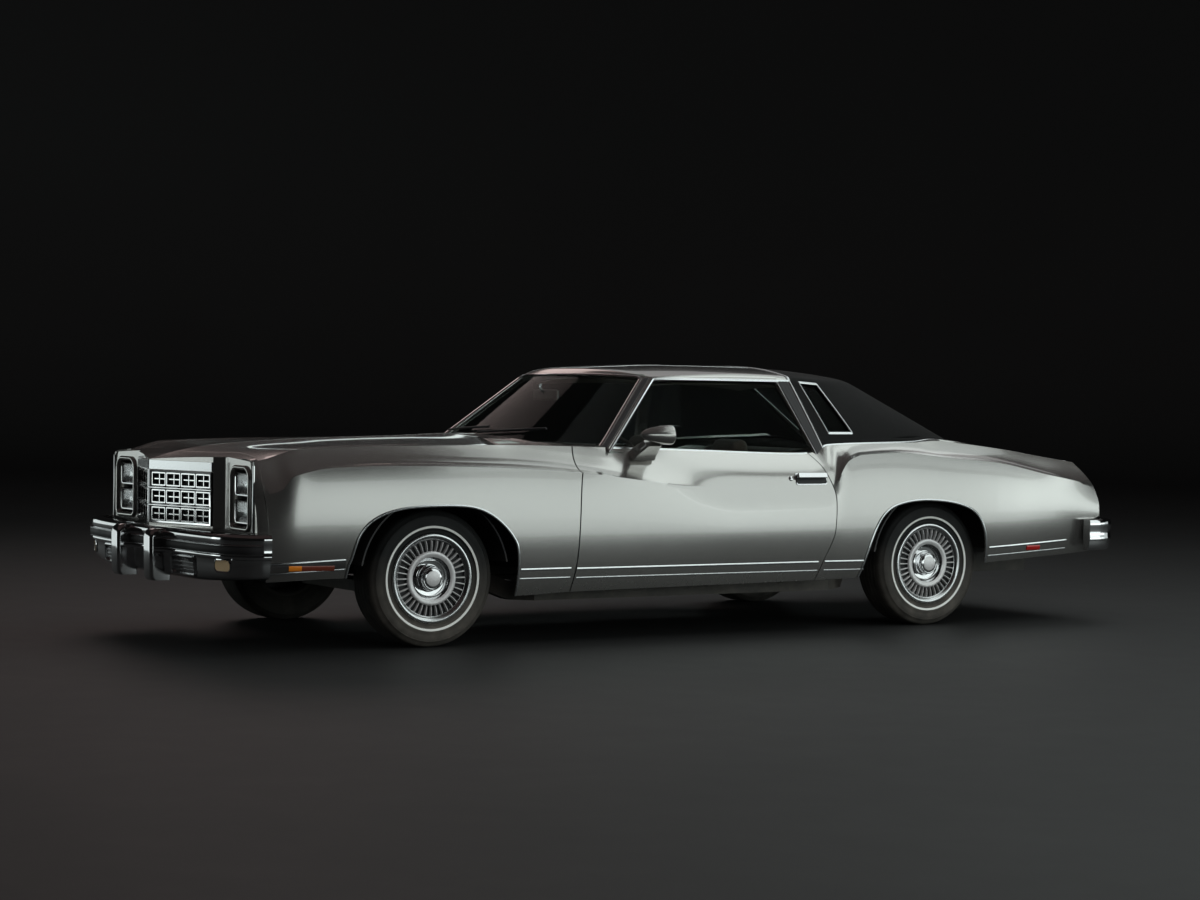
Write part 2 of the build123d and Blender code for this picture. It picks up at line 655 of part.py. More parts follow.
def steering_wheel():
    """Rim, two-spoke boss and the shaft that runs into the column."""
    way = along_column(-1) - along_column(0)
    plane = Plane(origin=along_column(0), x_dir=(1, 0, 0), z_dir=way)
    rim = plane * Pos(0, 0, -11) * (extrude(RegularPolygon(rim_radius + 12, 32, major_radius=False), 22)
                                    - Cylinder(rim_radius - 12, 60))
    boss = plane * Pos(0, 0, -40) * Cone(34, 46, 44, align=(Align.CENTER, Align.CENTER, Align.MIN))
    spokes = plane * Pos(0, 0, -16) * Box(2 * rim_radius - 6, 44, 12)
    shaft = rod(tuple(along_column(30)), tuple(along_column(110)), shaft_radius)
    return rim + boss + spokes + shaft


def dashboard():
    """Padded dash across the cabin, the instrument hood and the steering column."""
    points = [(-765, 720), (-765, 850), (-600, 905), (-470, 912), (-410, 880), (-400, 800), (-440, 690),
              (-520, 640), (-740, 640)]
    half = rocker_low_x - 1 - seat_clearance
    dash = side_prism(points, -half, half)
    opening = extrude(Face(greenhouse_outline(windshield_foot_z, 30 + seat_clearance)), 400, dir=(0, 0, -1))
    dash = dash - (block((-1000, -1000, cowl_trough_z - 12 - seat_clearance), (1000, 0, 1000)) - across(opening))
    start = tuple(along_column(46))
    column = rod(start, tuple(along_column(300)), 32)
    bore = rod(tuple(along_column(40)), tuple(along_column(120)), shaft_radius + running_clearance)
    return dash + column - bore


def seat(middle_x, width, front_y, back_y, cushion_z, top_z):
    """Bench or bucket: a cushion and a raked back joined at the heel."""
    points = [(front_y, cushion_z - 110), (front_y - 10, cushion_z - 20), (front_y + 40, cushion_z + 20),
              (back_y - 90, cushion_z - 16), (back_y + 30, top_z - 30), (back_y + 80, top_z), (back_y + 120, top_z - 20),
              (back_y + 60, cushion_z - 90), (back_y - 20, cushion_z - 130)]
    solid = side_prism(points, middle_x - width / 2, middle_x + width / 2)
    return fillet(solid.edges().filter_by(Axis.X), 16)


floor_z = 280 + seat_clearance
rear_floor_z = 404
package_shelf_z = 862
cowl_trough_z = 885
windshield_foot_z = 948
hinge_pillar_x = 792
luggage_floor_z = 435 + seat_clearance


def front_seats():
    """Two bucket seats on their mounts."""
    feet = block((200, -150, floor_z + floor_wall + seat_clearance), (620, 230, 380))
    left = seat(410, 480, -230, 330, 470, 905) + feet
    return Compound(children=[left, mirrored(left)])


def rear_seat():
    """Rear bench on the raised floor."""
    feet = block((-560, 640, rear_floor_z + floor_wall + seat_clearance), (560, 960, 470))
    return seat(0, 1200, 610, 960, 560, 925) + feet


def slab(points, wall):
    """Bent sheet across the cabin: a line of (y, z) points given a wall above it."""
    upper = [(y, z + wall) for y, z in reversed(points)]
    return side_prism(points + upper, -floor_half, floor_half)


floor_half = 772
rocker_low_x = 772
rocker_high_x = 832


def floor_pan():
    """Firewall, toe board, floor, rear seat step, bulkhead, luggage floor and the rocker boxes."""
    firewall = block((-floor_half, -892, 330), (floor_half, -878, cowl_trough_z - 12 - seat_clearance))
    floor = slab([(-892, 520), (-660, floor_z), (540, floor_z), (600, rear_floor_z), (1060, rear_floor_z),
                  (1070, 540), (1640, 540), (1800, luggage_floor_z), (2470, luggage_floor_z)], floor_wall)
    bulkhead = block((-605, 1136, 540), (605, 1150, package_shelf_z)) \
        + block((-605, 1136, package_shelf_z - 12), (605, 1590, package_shelf_z)) \
        + block((-506, 1580, package_shelf_z - 12), (506, 1700, package_shelf_z))
    tunnel = side_prism([(-878, floor_z), (-878, 474), (-600, 450), (590, 450), (590, floor_z)], -150, 150)
    pan = firewall + floor + bulkhead + tunnel
    pan = pan - side_prism([(-900, 200), (-900, 460), (-610, 436), (604, 436), (604, 200)], -136, 136)
    rocker = block((rocker_low_x - 1, -800, 258), (hinge_pillar_x, 590, 380)) \
        + block((hinge_pillar_x, -590, 258), (rocker_high_x, 590, 380))
    pillar = block((rocker_low_x - 1, -892, 258), (hinge_pillar_x, -715, 868))
    side = rocker + pillar + hood_hinge_bracket() + deck_hinge_bracket()
    for z in door_hinge_heights:
        side = side + door_hinge_strap(z)
    pan = pan + side + mirrored(side)
    space = Pos(0, rear_axle_y, axle_z) * Rot(0, 90, 0) * Cylinder(arch_radius, 4000)
    return pan - (space - block((-rear_house_x, 0, 0), (rear_house_x, 3000, 2000)))


arch_radius = 392
house_wall = 8
front_house_x = 485 + seat_clearance
rear_house_x = 612


def wheelhouse(axle_y, inner_x, outer_x):
    """Inner arch over a wheel with the wall on its inboard side."""
    centre = Pos(outer_x, axle_y, axle_z) * Rot(0, -90, 0)
    drum = centre * Cylinder(arch_radius, outer_x - inner_x, align=(Align.CENTER, Align.CENTER, Align.MIN))
    hollow = centre * Cylinder(arch_radius - house_wall, outer_x - inner_x - house_wall,
                               align=(Align.CENTER, Align.CENTER, Align.MIN))
    keep = block((0, axle_y - 600, 395), (1100, axle_y + 600, 900))
    return (drum - hollow) & keep


def wheelhouses():
    """Inner arches of the four wheels."""
    front = wheelhouse(front_axle_y, front_house_x, 918) - block((480, -1622, 390), (602, -1506, 434))
    rear = wheelhouse(rear_axle_y, rear_house_x, 912)
    return Compound(children=[front, mirrored(front), rear, mirrored(rear)])


def radiator_support():
    """Upright panel behind the grille, on the frame rails, with the radiator's core."""
    panel = block((-690, -2330, rail_front_top + seat_clearance), (690, -2316, 860))
    core = block((-330, -2316, 440), (330, -2256, 840))
    return panel + core


def engine():
    """Plain block at the engine's place and size, on its mounts."""
    body = block((-270, -1980, 300), (270, -1290, 800))
    body = chamfer(body.edges().filter_by(Axis.Y), 70)
    gearbox = block((-120, -1290, 320), (120, -900, 520))
    mounts = block((200, -1720, 360), (405 - seat_clearance, -1650, 420))
    return body + gearbox + mounts + mirrored(mounts)


rail_half = 40
rail_front_top = 420


def rail_plan():
    middle = [(445, -2560), (445, -1180), (704, -930), (704, 830), (536, 1050), (536, 2560)]
    outer = [(x + rail_half, y) for x, y in middle]
    inner = [(x - rail_half, y) for x, y in reversed(middle)]
    return plan_prism(outer + inner, 0, 800)


def rail_side():
    lower = [(-2560, 330), (-1300, 330), (-1020, 190), (1010, 190), (1200, 420), (1640, 420), (1790, 345),
             (2560, 345)]
    upper = [(y, z + 90) for y, z in reversed(lower)]
    return side_prism(lower + upper, 0, 1000)


def chassis_frame():
    """Perimeter frame: two side rails that kick up over the rear axle, and its cross members."""
    rail = rail_plan() & rail_side()
    hanger = block((380, -1610, 215), (420, -1510, 340))
    tower = block((480, -1620, 400), (600, -1508, 432))
    frame = rail + hanger + tower
    frame = frame + mirrored(frame)
    frame = frame + block((-410, -1620, 215), (410, -1500, 270))
    frame = frame + block((-690, -420, 196), (690, -340, 228 - seat_clearance))
    frame = frame + block((-510, 1880, 345), (510, 1940, 339 + 50)) + block((-510, 2480, 345), (510, 2552, 400))
    return frame


def wishbone(inner_x, z, spread):
    """Suspension arm from the frame to a ball joint on the knuckle."""
    points = [(inner_x, -spread), (inner_x, spread), (inner_x + 60, spread), (620, 26), (kingpin_x, 26),
              (kingpin_x, -26), (620, -26), (inner_x + 60, -spread)]
    arm = plan_prism([(x, front_axle_y + y) for x, y in points], z, z + 26)
    return arm - rod((kingpin_x, front_axle_y, z - 10), (kingpin_x, front_axle_y, z + 40), ball_radius + running_clearance)


def front_suspension():
    """Lower and upper arms and coil springs between the frame and the knuckles."""
    lower = wishbone(420 + seat_clearance, 220, 46)
    upper = wishbone(600 + seat_clearance, 406, 20)
    spring = rod((545, front_axle_y, 246 + seat_clearance), (545, front_axle_y, 400 - seat_clearance), 44)
    parts = [lower, upper, spring]
    return Compound(children=parts + [mirrored(part) for part in parts])


def rear_axle():
    """Axle tubes, differential housing, brake drums, coil springs and trailing links to the frame."""
    half = track_rear / 2
    tubes = rod((-half + 75, rear_axle_y, axle_z), (half - 75, rear_axle_y, axle_z), 40)
    housing = Pos(0, rear_axle_y, axle_z) * Rot(0, 90, 0) * Cylinder(118, 130)
    nose = rod((0, rear_axle_y - 230, axle_z), (0, rear_axle_y, axle_z), 60)
    axle = tubes + housing + nose
    for side in (-1, 1):
        drum = rod((side * (half - 92), rear_axle_y, axle_z), (side * (half - 52), rear_axle_y, axle_z), 140)
        spindle = rod((side * (half - 60), rear_axle_y, axle_z), (side * (half + 30), rear_axle_y, axle_z),
                      spindle_radius)
        spring = rod((side * 536, rear_axle_y, axle_z), (side * 536, rear_axle_y, 420 - seat_clearance), 38)
        link = rod((side * 430, rear_axle_y, axle_z - 30), (side * 468, 1045, 270), 20)
        link = link + rod((side * 468, 1045, 270), (side * (536 - rail_half - seat_clearance), 1045, 270), 14)
        axle = axle + drum + spindle + spring + link
    return axle


def driveshaft():
    """Shaft from the gearbox to the rear axle's nose."""
    return rod((0, -898, 390), (0, rear_axle_y - 232, axle_z + 4), 36)


def pipe_run(points, radius):
    """Round pipe through points, with ball corners."""
    run = rod(points[0], points[1], radius)
    for start, end in zip(points[1:], points[2:]):
        run = run + Pos(*start) * Sphere(radius) + rod(start, end, radius)
    return run


def exhaust():
    """Pipe along the right side with its silencer and a tail pipe that climbs over the axle."""
    front = pipe_run([(-300, -1150, 252), (-300, -300, 252), (-330, 40, 240)], 24)
    silencer = fillet(block((-450, 30, 190), (-230, 640, 272)).edges().filter_by(Axis.Y), 34)
    tail = pipe_run([(-400, 620, 236), (-400, 900, 250), (-440, 1180, 470), (-440, 1580, 470), (-468, 1790, 300),
                     (-468, 2560, 300)], 21)
    return front + silencer + tail


def fuel_tank():
    """Flat tank under the luggage floor."""
    tank = block((-436, 1960, 235), (436, 2440, luggage_floor_z - seat_clearance))
    return fillet(tank.edges().filter_by(Axis.Z), 40)


# Wheels, knuckles and tyres


def tyre():
    """Tyre about the X axis, its centre plane at x = 0."""
    half = tyre_width / 2
    points = [(bead_radius, -half + 22), (tyre_radius - 72, -half), (tyre_radius - 22, -half + 9),
              (tyre_radius, -half + 40)]
    line = points + [(r, -a) for r, a in reversed(points)]
    face = Face(Wire.make_polygon([(a, 0, r) for r, a in line], close=True))
    return revolve(face, Axis.X, 360)


def wheel(hub_depth):
    """Wheel about the X axis with its outer side at +X: rim, centre and the bright cover with its fins."""
    rim_half = 92
    line = [(bead_radius - 0.3, -rim_half + 8), (bead_radius - 0.3, rim_half - 6.2), (cover_radius, rim_half + 5),
            (cover_radius, rim_half + 11),
            (176, rim_half - 2), (128, rim_half + 6), (98, rim_half - 6), (52, rim_half + 18), (0, rim_half + 24),
            (0, rim_half - 30), (178, rim_half - 34), (178, -rim_half + 8)]
    face = Face(Wire.make_polygon([(a, 0, r) for r, a in line], close=True))
    body = revolve(face, Axis.X, 360)
    hub = rod((hub_depth, 0, 0), (rim_half - 20, 0, 0), 60)
    bore = rod((hub_depth - 1, 0, 0), (40, 0, 0), spindle_radius + running_clearance)
    return body + hub - bore


def knuckle():
    """Left steering knuckle: upright between the ball joints, spindle and brake shield."""
    upright = rod((kingpin_x, front_axle_y, 201), (kingpin_x, front_axle_y, 470), ball_radius)
    spindle = rod((kingpin_x, front_axle_y, axle_z), (track_front / 2 + 30, front_axle_y, axle_z), spindle_radius)
    shield = rod((kingpin_x + 18, front_axle_y, axle_z), (kingpin_x + 24, front_axle_y, axle_z), 120)
    return upright + spindle + shield


def placed(shape, side, track, axle_y):
    """Puts a left wheel or tyre at one corner; the right side's is turned round."""
    turn = 0 if side > 0 else 180
    return Pos(side * track / 2, axle_y, axle_z) * Rot(0, 0, turn) * shape


def corner_nodes():
    """Tyres and wheels of the four corners."""
    made = {}
    for end, track, axle_y in (("front", track_front, front_axle_y), ("rear", track_rear, rear_axle_y)):
        for name, side in (("left", 1), ("right", -1)):
            made[f"tyre_{end}_{name}"] = placed(tyre(), side, track, axle_y)
            made[f"wheel_{end}_{name}"] = placed(wheel(-20), side, track, axle_y)
    return made


def paired_nodes():
    """Pieces that the car has on its left side and, mirrored, on its right."""
    left = {
        "fender": fender(),
        "door": door() + mirror_housing() + door_handle(),
        "door_glass": door_glass(),
        "quarter_panel": quarter(),
        "steering_knuckle": knuckle(),
    }
    made = {}
    for name, shape in left.items():
        made[f"{name}_left"] = shape
        made[f"{name}_right"] = mirrored(shape)
    return made


def single_nodes():
    return {
        "chassis_frame": chassis_frame(),
        "floor_pan": floor_pan(),
        "wheelhouses": wheelhouses(),
        "radiator_support": radiator_support(),
        "engine": engine(),
        "driveshaft": driveshaft(),
        "rear_axle": rear_axle(),
        "front_suspension": front_suspension(),
        "exhaust": exhaust(),
        "fuel_tank": fuel_tank(),
        "header_panel": header_panel(),
        "grille": grille(),
        "headlamps": headlamps(),
        "lamp_bezels": lamp_bezels(),
        "front_bumper": front_bumper(),
        "park_lamps": park_lamps(),
        "hood": hood(),
        "cowl_panel": cowl_panel(),
        "roof_panel": roof_panel(),
        "landau_roof": landau_roof(),
        "fixed_glass": fixed_glass(),
        "deck_filler": deck_filler(),
        "deck_lid": deck_lid(),
        "tail_panel": tail_panel(),
        "tail_lamps": tail_lamps(),
        "rear_bumper": rear_bumper(),
        "dashboard": dashboard(),
        "steering_wheel": steering_wheel(),
        "front_seats": front_seats(),
        "rear_seat": rear_seat(),
    }


os.makedirs("parts", exist_ok=True)
for node, shape in {**single_nodes(), **paired_nodes(), **corner_nodes()}.items():
    export_step(shape, f"parts/{node}.step")
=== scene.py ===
import math

import bmesh
import bpy
import numpy as np
from mathutils import Matrix, Vector


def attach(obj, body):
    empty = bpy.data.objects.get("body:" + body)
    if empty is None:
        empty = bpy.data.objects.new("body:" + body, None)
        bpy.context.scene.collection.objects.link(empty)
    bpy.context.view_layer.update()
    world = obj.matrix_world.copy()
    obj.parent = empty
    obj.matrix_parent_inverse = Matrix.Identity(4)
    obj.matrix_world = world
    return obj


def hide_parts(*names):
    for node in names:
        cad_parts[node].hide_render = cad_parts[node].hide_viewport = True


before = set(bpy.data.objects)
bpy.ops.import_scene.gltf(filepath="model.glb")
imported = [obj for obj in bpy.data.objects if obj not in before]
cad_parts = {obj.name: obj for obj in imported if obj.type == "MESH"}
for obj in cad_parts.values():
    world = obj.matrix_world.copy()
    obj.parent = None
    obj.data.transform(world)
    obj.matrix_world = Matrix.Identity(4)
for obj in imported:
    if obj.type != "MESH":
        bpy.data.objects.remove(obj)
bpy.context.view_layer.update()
print("frame loaded")

# The shapes below are worked out in millimetres, in the frame's axes, and turned into metres in addPiece.
# +Z is up, the front of the car faces -Y, and the left side is +X.
metre = 0.001
frontAxle = -1564.0
rearAxle = frontAxle + 2946.0
axleHeight = 323.0
hoodEdge = 694.0
deckEdge = 716.0
shutGap = 5.0
sides = (("left", 1), ("right", -1))


# Curves and surfaces

def along(at, keys):
    # smooth curve through (position, value) keys: a cubic on each span, whose slope at a key is the harmonic
    # mean of the two spans' slopes, or 0 where they turn back
    places, values = np.array(keys, float).T
    rises = np.diff(values) / np.diff(places)
    slopes = np.concatenate([rises[:1], np.zeros(len(rises) - 1), rises[-1:]])
    both = rises[:-1] * rises[1:]
    slopes[1:-1] = np.where(both > 0, 2 * both / np.where(both > 0, rises[:-1] + rises[1:], 1), 0)
    at = np.clip(at, places[0], places[-1])
    i = np.clip(np.searchsorted(places, at, side="right") - 1, 0, len(rises) - 1)
    span = places[i + 1] - places[i]
    t = (at - places[i]) / span
    return (values[i] * (1 + 2 * t) * (1 - t) ** 2 + values[i + 1] * t * t * (3 - 2 * t)
            + span * (slopes[i] * t * (1 - t) ** 2 - slopes[i + 1] * t * t * (1 - t)))


def polynomial(t, knots, values):
    # the one through all the values: sum of value i times the product over j of (t - knot j) / (knot i - knot j)
    total = 0
    for i, value in enumerate(values):
        weight = 1
        for j, knot in enumerate(knots):
            if j != i:
                weight = weight * (t - knot) / (knots[i] - knot)
        total = total + weight * value
    return total


def through(points, t):
    # one polynomial through a few points, its knots spaced by the chords between them
    steps = [np.linalg.norm(b - a, axis=-1) for a, b in zip(points, points[1:])]
    knots = np.cumsum([np.zeros_like(steps[0])] + steps, axis=0)
    knots = knots / knots[-1]
    return polynomial(t[..., None], knots[..., None], points)


def smoothPath(points, count):
    # Catmull-Rom curve through points, resampled to even lengths
    p = np.array(points, float)
    p = np.vstack([2 * p[0] - p[1], p, 2 * p[-1] - p[-2]])
    n = len(p) - 3
    s = np.linspace(0, n - 1e-9, 40 * n)
    i = s.astype(int)
    t = (s - i)[:, None]
    a, b, c, d = p[i], p[i + 1], p[i + 2], p[i + 3]
    curve = 0.5 * (2 * b + (c - a) * t + (2 * a - 5 * b + 4 * c - d) * t ** 2 + (3 * b - a - 3 * c + d) * t ** 3)
    return evenly(np.vstack([curve, p[-2]]), count)


def evenly(points, count):
    # the same line with its points at even lengths
    p = np.array(points, float)
    length = np.concatenate([[0], np.cumsum(np.linalg.norm(np.diff(p, axis=0), axis=1))])
    at = np.linspace(0, length[-1], count)
    return np.stack([np.interp(at, length, p[:, k]) for k in range(p.shape[1])], axis=1)


def bisect(function, target, low, high, turns=34):
    # parameter at which a steadily changing function of it reaches the target, for whole arrays
    rising = function(high) > function(low)
    for _ in range(turns):
        middle = (low + high) / 2
        above = (function(middle) > target) == rising
        high = np.where(above, middle, high)
        low = np.where(above, low, middle)
    return (low + high) / 2


# lines along the body, each in (y, value) keys: heights, distances from the middle and shares
bodyLines = {
    "sill": [(-2440, 322), (-2037, 338), (-1128, 232), (-819, 243), (596, 260), (1000, 268), (1738, 322),
             (2480, 358)],
    "widest": [(-2460, 862), (-2420, 882), (-2250, 926), (-1950, 957), (-1564, 968), (-800, 970), (700, 970),
               (1382, 966), (1900, 946), (2250, 908), (2480, 868), (2640, 836)],
    "ridge": [(-2440, 700), (-2336, 748), (-2287, 806), (-2089, 845), (-1783, 852), (-1257, 840), (-800, 814),
              (-477, 778), (-127, 736), (126, 712), (560, 720), (700, 735), (790, 868), (880, 896), (1110, 905),
              (1440, 878), (1778, 851), (2126, 790), (2411, 745), (2640, 700)],
    "bulge": [(-2440, 0.0), (-2300, 0.7), (-2150, 1.0), (-900, 1.0), (-400, 0.7), (126, 0.0), (690, 0.0), (800, 1.0),
              (1900, 1.0), (2411, 0.5), (2600, 0.0)],
    "shoulderX": [(-2460, 812), (-2208, 806), (-1162, 812), (-800, 836), (-560, 858), (668, 858), (1087, 834),
                  (1475, 800), (2453, 766), (2620, 752)],
    "shoulderZ": [(-2460, 866), (-2396, 879), (-2208, 926), (-1697, 939), (-1162, 944), (-760, 937), (-584, 932),
                  (-56, 915), (555, 898), (650, 908), (735, 941), (860, 947), (1087, 951), (1340, 955),
                  (1475, 963), (1644, 950), (1920, 920), (2201, 881), (2453, 846), (2640, 820)],
    "crown": [(-2640, 850), (-2611, 858), (-2487, 894), (-2396, 912), (-2238, 931), (-2052, 944), (-1831, 956),
              (-1282, 972), (-999, 982), (-760, 984), (-500, 930), (600, 930), (1475, 990), (1700, 986),
              (1920, 954), (2201, 916), (2453, 878), (2640, 848)],
    "crease": [(-2640, 0.0), (-2450, 9.0), (-1000, 9.0), (-880, 0.0)],
}
sideHeight = 600.0


def bodyPoint(y, t):
    # skin of the lower body: at each y a section of three polynomials, from the sill to the ridge for t 0 to 1,
    # to the shoulder for 1 to 2 and to the middle for 2 to 3, less crease * 4 u squared (1 - u) on the last
    y, t = np.broadcast_arrays(np.asarray(y, float), np.asarray(t, float))
    v = {name: along(y, keys) for name, keys in bodyLines.items()}
    lean = (sideHeight - v["sill"]) / 350
    ridgeX = v["widest"] - 12 + 10 * v["bulge"] - (1 - v["bulge"]) * 0.05 * (v["ridge"] - sideHeight)
    hollow = 0.30 + 0.30 * v["bulge"]
    lift = 0.52 - 0.20 * v["bulge"]
    pairs = [(v["widest"] - 44 * lean, v["sill"]),
             (v["widest"] - 14 * lean, v["sill"] + 0.32 * (sideHeight - v["sill"])),
             (v["widest"], np.full_like(y, sideHeight)),
             (ridgeX, v["ridge"]),
             (ridgeX - hollow * (ridgeX - v["shoulderX"]), v["ridge"] + lift * (v["shoulderZ"] - v["ridge"])),
             (v["shoulderX"], v["shoulderZ"]),
             (v["shoulderX"] * 0.55, v["shoulderZ"] + 0.74 * (v["crown"] - v["shoulderZ"]) - 0.6 * v["crease"]),
             (np.zeros_like(y), v["crown"])]
    points = [np.stack(pair, axis=-1) for pair in pairs]
    side = through(points[:4], np.clip(t, 0, 1))
    upper = through(points[3:6], np.clip(t - 1, 0, 1))
    inward = np.clip(t - 2, 0, 1)
    top = through(points[5:], inward)
    top[..., 1] -= v["crease"] * 4 * inward * (1 - inward) * inward
    flat = np.where((t < 1)[..., None], side, np.where((t < 2)[..., None], upper, top))
    return np.stack([flat[..., 0], y, flat[..., 1]], axis=-1)


def skinAtZ(y, z):
    # t of the skin at a height, below the shoulder
    return bisect(lambda t: bodyPoint(y, t)[..., 2], z, np.zeros_like(y), np.full_like(y, 2.0))


def skinAtX(y, x):
    # t of the skin at a distance from the middle, above the shoulder
    return bisect(lambda t: bodyPoint(y, t)[..., 0], x, np.full_like(y, 2.0), np.full_like(y, 3.0))


def skinNormal(y, t):
    # outward normal, from the skin's slopes along y and t
    e = 1e-3
    a = bodyPoint(y + 1, t) - bodyPoint(y - 1, t)
    b = bodyPoint(y, np.clip(t + e, 0, 3)) - bodyPoint(y, np.clip(t - e, 0, 3))
    n = np.cross(a, b)
    return n / np.linalg.norm(n, axis=-1, keepdims=True)


def seam(keys, t, shift=0.0):
    # (y, t) pairs where a seam given as y against z crosses each t of the skin
    heights = [(z, y) for y, z in keys]
    y = np.full_like(t, keys[1][0])
    for _ in range(12):
        y = along(bodyPoint(y, t)[..., 2], heights) + shift
    return np.stack([y, t], axis=-1)


def coons(bottom, top, left, right):
    # grid between four boundary lines, blended from both pairs of sides
    u = np.linspace(0, 1, len(bottom))[:, None, None]
    v = np.linspace(0, 1, len(left))[None, :, None]
    return ((1 - v) * bottom[:, None] + v * top[:, None] + (1 - u) * left[None] + u * right[None]
            - (1 - u) * (1 - v) * bottom[0] - u * (1 - v) * bottom[-1] - (1 - u) * v * top[0] - u * v * top[-1])


def gridNormals(grid):
    # unit normals of a grid of points
    n = np.cross(np.gradient(grid, axis=0), np.gradient(grid, axis=1))
    return n / np.maximum(np.linalg.norm(n, axis=-1, keepdims=True), 1e-9)


# Meshes

mergedWithin = 0.0002  # metres
bevelledFrom = 40.0  # degrees between two faces


def gridFaces(rows, columns, start=0, wrapRows=False, wrapColumns=False):
    # quads of a grid, each as its four vertex numbers
    index = start + np.arange(rows * columns).reshape(rows, columns)
    if wrapRows:
        index = np.vstack([index, index[:1]])
    if wrapColumns:
        index = np.hstack([index, index[:, :1]])
    return np.stack([index[:-1, :-1], index[1:, :-1], index[1:, 1:], index[:-1, 1:]], axis=-1).reshape(-1, 4)


def joined(*parts):
    # several (vertices, faces) meshes as one
    vertices, faces, start = [], [], 0
    for points, quads in parts:
        points = np.asarray(points, float).reshape(-1, 3)
        vertices.append(points)
        faces.extend([np.asarray(f) + start for f in quads])
        start += len(points)
    return np.vstack(vertices), faces


def slab(outer, inner):
    # closed mesh between an outer and an inner grid: both grids and the four strips between their edges
    rows, columns = outer.shape[:2]
    n = rows * columns
    index = np.arange(n).reshape(rows, columns)
    faces = [gridFaces(rows, columns), gridFaces(rows, columns, n)[:, ::-1]]
    for edge in (index[:, 0], index[-1, :], index[::-1, -1], index[0, ::-1]):
        faces.append(np.stack([edge[:-1], edge[:-1] + n, edge[1:] + n, edge[1:]], axis=-1))
    return np.vstack([outer.reshape(-1, 3), inner.reshape(-1, 3)]), np.vstack(faces)


def panel(grid, wall):
    # sheet of even thickness whose outer face is the grid
    return slab(grid, grid - gridNormals(grid) * wall)


def tube(grid, flip=False, closed=False):
    # mesh of a grid whose rows are loops, with a lid on both ends unless it closes on itself
    n, m = grid.shape[:2]
    faces = list(gridFaces(n, m, wrapRows=closed, wrapColumns=True))
    if not closed:
        faces += [np.arange(m), (n - 1) * m + np.arange(m)[::-1]]
    return grid.reshape(-1, 3), [f[::-1] for f in faces] if flip else faces


def sweep(path, profile, side, out, closed=False):
    # profile of (across, out) pairs carried along a path, with unit vectors across and out at each of its points
    return tube(path[:, None] + profile[None, :, :1] * side[:, None] + profile[None, :, 1:] * out[:, None],
                closed=closed)


def unit(v):
    # the same directions with length 1
    return v / np.maximum(np.linalg.norm(v, axis=-1, keepdims=True), 1e-9)


def strip(path, normals, profile, closed=False):
    # moulding along a path, its profile standing on the surface with the given normals
    ahead = np.roll(path, -1, axis=0) - np.roll(path, 1, axis=0) if closed else np.gradient(path, axis=0)
    side = unit(np.cross(normals, unit(ahead)))
    return sweep(path, np.asarray(profile, float), side, unit(normals), closed)


def crowned(width, height, count=9, foot=-2.0):
    # moulding profile as (cos a * width / 2, sin a to the power 0.6 * height), from foot to foot
    a = np.linspace(0, math.pi, count)
    top = np.stack([np.cos(a) * width / 2, np.sin(a) ** 0.6 * height], axis=1)
    return np.vstack([[width / 2, foot], top, [-width / 2, foot]])[::-1]


def gabled(width, slope, foot=-2.0):
    # moulding profile with two flat faces at the slope in degrees, so that one of them meets the light
    rise = math.tan(math.radians(slope)) * width / 2
    return np.array([[-width / 2, foot], [-width / 2, 0.8], [-width * 0.04, rise + 0.6], [width * 0.04, rise + 0.6],
                     [width / 2, 0.8], [width / 2, foot]])


def revolve(profile, segments, centre, axis=(1, 0, 0), closed=True):
    # profile of (radius, distance along the axis) pairs turned about the axis
    profile = np.asarray(profile, float)
    axis = unit(np.array(axis, float))
    side = unit(np.cross(axis, [0.0, 0.31, 1.0]))
    up = np.cross(side, axis)
    a = np.linspace(0, 2 * math.pi, segments, endpoint=False)
    spoke = np.cos(a)[:, None] * up + np.sin(a)[:, None] * side
    grid = np.array(centre) + profile[None, :, :1] * spoke[:, None] + profile[None, :, 1:] * axis
    return grid.reshape(-1, 3), gridFaces(segments, len(profile), wrapRows=True, wrapColumns=closed)


def flipped(vertices, faces):
    # mirror image across the middle of the car, still facing outwards
    return vertices * [-1, 1, 1], [np.asarray(f)[::-1] for f in faces]


def addPiece(name, shape, material, body="body", slotName=None, replaces=(), sharp=35, bevel=0.0, segments=2,
             merge=False):
    # mesh object in metres from (vertices, faces) in millimetres, riding on its body
    vertices, faces = shape
    mesh = bpy.data.meshes.new(name)
    mesh.from_pydata((np.asarray(vertices) * metre).tolist(), [], [np.asarray(f).tolist() for f in faces])
    mesh.update()
    piece = bpy.data.objects.new(name, mesh)
    bpy.context.scene.collection.objects.link(piece)
    mesh.materials.append(material)
    tidyMesh(mesh, merge)
    mesh.shade_smooth()
    if sharp:
        mesh.set_sharp_from_angle(angle=math.radians(sharp))
    if bevel:
        edge = piece.modifiers.new("edges", "BEVEL")
        edge.width = bevel * metre
        edge.segments = segments
        edge.limit_method = "ANGLE"
        edge.angle_limit = math.radians(bevelledFrom)
        edge.harden_normals = True
        edge.use_clamp_overlap = True
    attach(piece, body)
    if replaces:
        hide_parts(*([replaces] if isinstance(replaces, str) else replaces))
    return piece


def tidyMesh(mesh, merge):
    # doubles merged where asked, and every face turned outwards
    work = bmesh.new()
    work.from_mesh(mesh)
    if merge:
        bmesh.ops.remove_doubles(work, verts=work.verts, dist=mergedWithin)
    bmesh.ops.recalc_face_normals(work, faces=work.faces)
    work.to_mesh(mesh)
    work.free()


def bothSides(name, shape, material, body="body", replaces=None, **more):
    # the left piece and its mirror image, on one body or on the doors
    for side, sign in sides:
        ride = f"door_{side}" if body == "door" else body
        node = f"{replaces}_{side}" if replaces else ()
        addPiece(f"{name}_{side}", shape if sign > 0 else flipped(*shape), material, ride, replaces=node, **more)


# Materials

